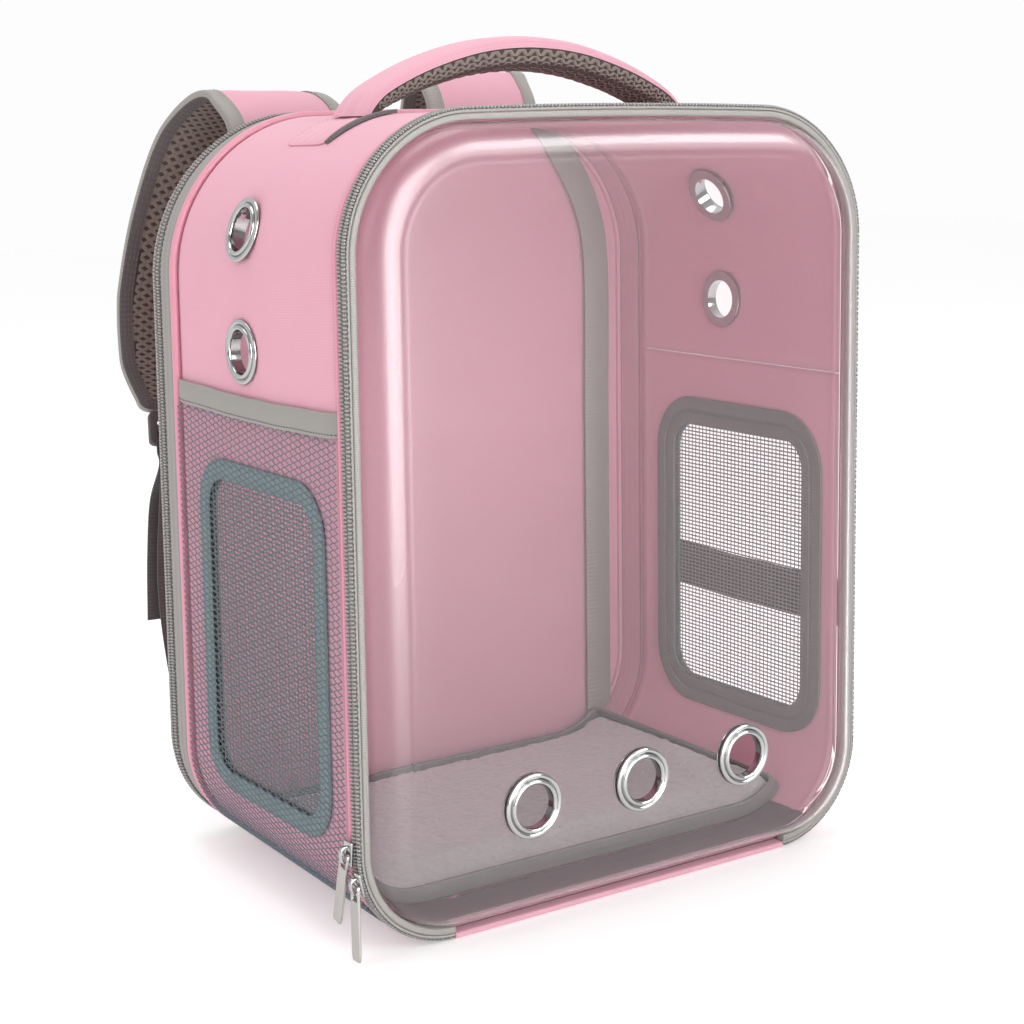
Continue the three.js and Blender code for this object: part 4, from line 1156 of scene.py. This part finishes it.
def shoulder_strap(side, hand):
    rows = STRAPS[side]
    line = smooth_line([Vector(row[:3]) for row in rows])
    length = line_length(line)
    on_strap = on_ribbon(line, SIDEWAYS)
    ends = (STRAP_EDGE / length, 1 - STRAP_EDGE / length)

    def strap_half(share):
        return read_row(rows, share)[3] / 2

    def strap_bow(s, share):
        return 1.6 + 2.8 * (1 - abs(s) ** 3) * strap_half(share) / 40

    def strap_layer(up):
        def section(share):
            way = lerp(*ends, share)
            half = strap_half(way) - STRAP_EDGE
            outer = [(s * half, up * (0.15 + strap_bow(s, way))) for s in spaced(-1, 1, 16)]
            return outer + [(s * half, up * 0.15) for s in (1, 0.33, -0.33, -1)]

        def place(share, aside, lift):
            return on_strap(lerp(*ends, share), aside, lift)

        return carried(place, section, 90, length)

    cover = finished(f"{side}_strap_top", strap_layer(1), pink_oxford, [f"{side}_strap_cover"])
    foam = finished(f"{side}_strap_foam", strap_layer(-1), air_foam, [f"{side}_strap_pad"])

    def on_strap_pad(along, aside, lift):
        share = along / length
        s = aside / (strap_half(share) - STRAP_EDGE)
        return on_strap(share, aside, -0.3 - strap_bow(min(1, max(-1, s)), share) - lift)

    strands = []
    for aside in spaced(-31.5, 31.5, 16):
        shares = [share for share in spaced(0.02, 0.97, 60) if strap_half(share) - 8 > abs(aside)]
        strands.append((aside, shares[0] * length, shares[-1] * length))
    mesh_face = knitted(on_strap_pad, strands, 2.3, 3.95, 1.9, 0.7, hold=0.5)
    finished(f"{side}_strap_air_mesh", mesh_face, air_threads)

    bound = [(0, 0)]
    turn = [(STRAP_CORNER * (1 - math.sin(a)), STRAP_CORNER * (1 - math.cos(a)))
            for a in spaced(math.pi / 2, 0, 6)]
    bound += [(along, aside - strap_half(0)) for along, aside in turn]
    bound += [(length * k / 60, -strap_half(k / 60)) for k in range(60) if 9 < length * k / 60 < length - 9]
    tip_half = strap_half(1 - STRAP_CORNER / length)
    bound += [(length - along, aside - tip_half) for along, aside in reversed(turn)]
    bound += [(a, -b) for a, b in reversed(bound)]
    bound_line = walked_line(bound)

    def round_strap(share, inward, lift):
        along, aside = bound_line(share)
        before, after = bound_line(share - 0.004), bound_line(share + 0.004)
        way = Vector((after[0] - before[0], after[1] - before[1])).normalized()
        return on_strap((along - way.y * inward) / length, aside + way.x * inward, lift)

    edge = carried(round_strap, STRAP_EDGE_TOP, 240, 2 * length, ring=True)
    finished(f"{side}_strap_edge", edge, grey_grosgrain, [f"{side}_strap_binding"])
    # The underside of the grey binding, drawn in the dark webbing grey: painted shade of the side turned away
    # from the light
    under = carried(round_strap, STRAP_EDGE_UNDER, 240, 2 * length, ring=True)
    finished(f"{side}_strap_edge_painted_shade", under, dark_webbing)
    sewn(f"{side}_strap_sewing", by_length(round_strap, 2 * length), (0, 2 * length), 8.4, 3.35,
         grey_thread)
    tip = ribbon_frame(line, SIDEWAYS, 1)
    buckle = ladder_buckle(tip)
    finished(f"{side}_ladder_buckle", buckle, buckle_acetal, [f"{side}_adjuster"])
    web_line = webbing_line(tip, hand)
    web_length = line_length(web_line)
    on_webbing = on_ribbon(web_line, SIDEWAYS)
    web_section = rounded_box((-WEBBING_HALF, -WEBBING_LIFT), (WEBBING_HALF, WEBBING_LIFT), 0.6, 2)
    webbing = carried(on_webbing, web_section, round(web_length / 1.5), web_length)
    finished(f"{side}_strap_webbing", webbing, dark_webbing,
             [f"{side}_webbing", f"{side}_webbing_tail"])
    for edge in (-1, 1):
        sewn(f"{side}_webbing_tack_{edge + 2}", by_length(on_webbing, web_length), (4, 28), edge * 9.5, 0.85,
             grey_thread)


for side, hand in SIDES:
    shoulder_strap(side, hand)

# Zip sliders with an arched bridge and a hanging pull: depth, height, the pull's lean in degrees, its pivot
SLIDERS = [
    ("upper", -104.9, 56, 14, (-169.05, -104.9, 55.986)),
    ("lower", -111, 42, 0, (-167.13, -111, 41.026)),
]
SLIDER_INSET = 0.8
BRIDGE_ROUTE = [(1.6, -3.8), (4.1, -3.8), (5.6, -2.9), (6.1, 0), (5.6, 2.9), (4.1, 3.8), (1.6, 3.8)]


def slider_body():
    bm = bmesh.new()
    block = Matrix.Translation((0, 1.55, 0)) @ Matrix.Diagonal((8, 1.5, 13, 1))
    bmesh.ops.create_cube(bm, size=1, matrix=block)
    narrow = [v for v in bm.verts if v.co.z > 0]
    bmesh.ops.scale(bm, vec=(0.62, 1, 1), verts=narrow)
    bmesh.ops.bevel(bm, geom=bm.edges[:], affect="EDGES", offset=0.55, segments=3, profile=0.5, material=-1)
    arch = smooth_line([Vector((0, lift, z)) for lift, z in BRIDGE_ROUTE])
    strip = carried(on_ribbon(arch, SIDEWAYS), rounded_box((-1.1, -0.65), (1.1, 0.65), 0.35), 30, 20)
    bridge = to_mesh("bridge", strip)
    bm.from_mesh(bridge)
    bpy.data.meshes.remove(bridge)
    return bm


def pull_plate():
    bm = slotted_plate((-3.8, -2.6, 2.6, 3.8), (-38.2, -7.2, -0.8, 0.8), [(1, 1)])
    plate_corners(bm, -38.2, 3.7, 8)
    plate_corners(bm, 0.8, 1.5, 4)
    plate_wall(bm, 1.5, 0.35)
    return bm


for name, y, z, lean, pivot in SLIDERS:
    base = radius_at(BASE_RADIUS, y)
    angle = math.asin(max(0, base - z) / (base - SLIDER_INSET))
    out = Vector((-math.cos(angle), 0, -math.sin(angle)))
    foot = Vector((base - WIDTH / 2 - (base - SLIDER_INSET) * math.cos(angle), y, z))
    slider = slider_body()
    slider.transform(Matrix.Translation(foot) @ axes(FORWARD, out, FORWARD.cross(out)))
    finished(f"{name}_slider_body", slider, bright_steel, [f"{name}_zip_slider"])
    pull = pull_plate()
    hang = Matrix(((0, 0, 1, 0), (1, 0, 0, 0), (0, 1, 0, 0), (0, 0, 0, 1)))
    pull.transform(Matrix.Translation(pivot) @ hang @ Matrix.Rotation(math.radians(lean), 4, "Z"))
    finished(f"{name}_pull_plate", pull, satin_steel, [f"{name}_zip_pull"],
             body=f"{name}_zip_pull")
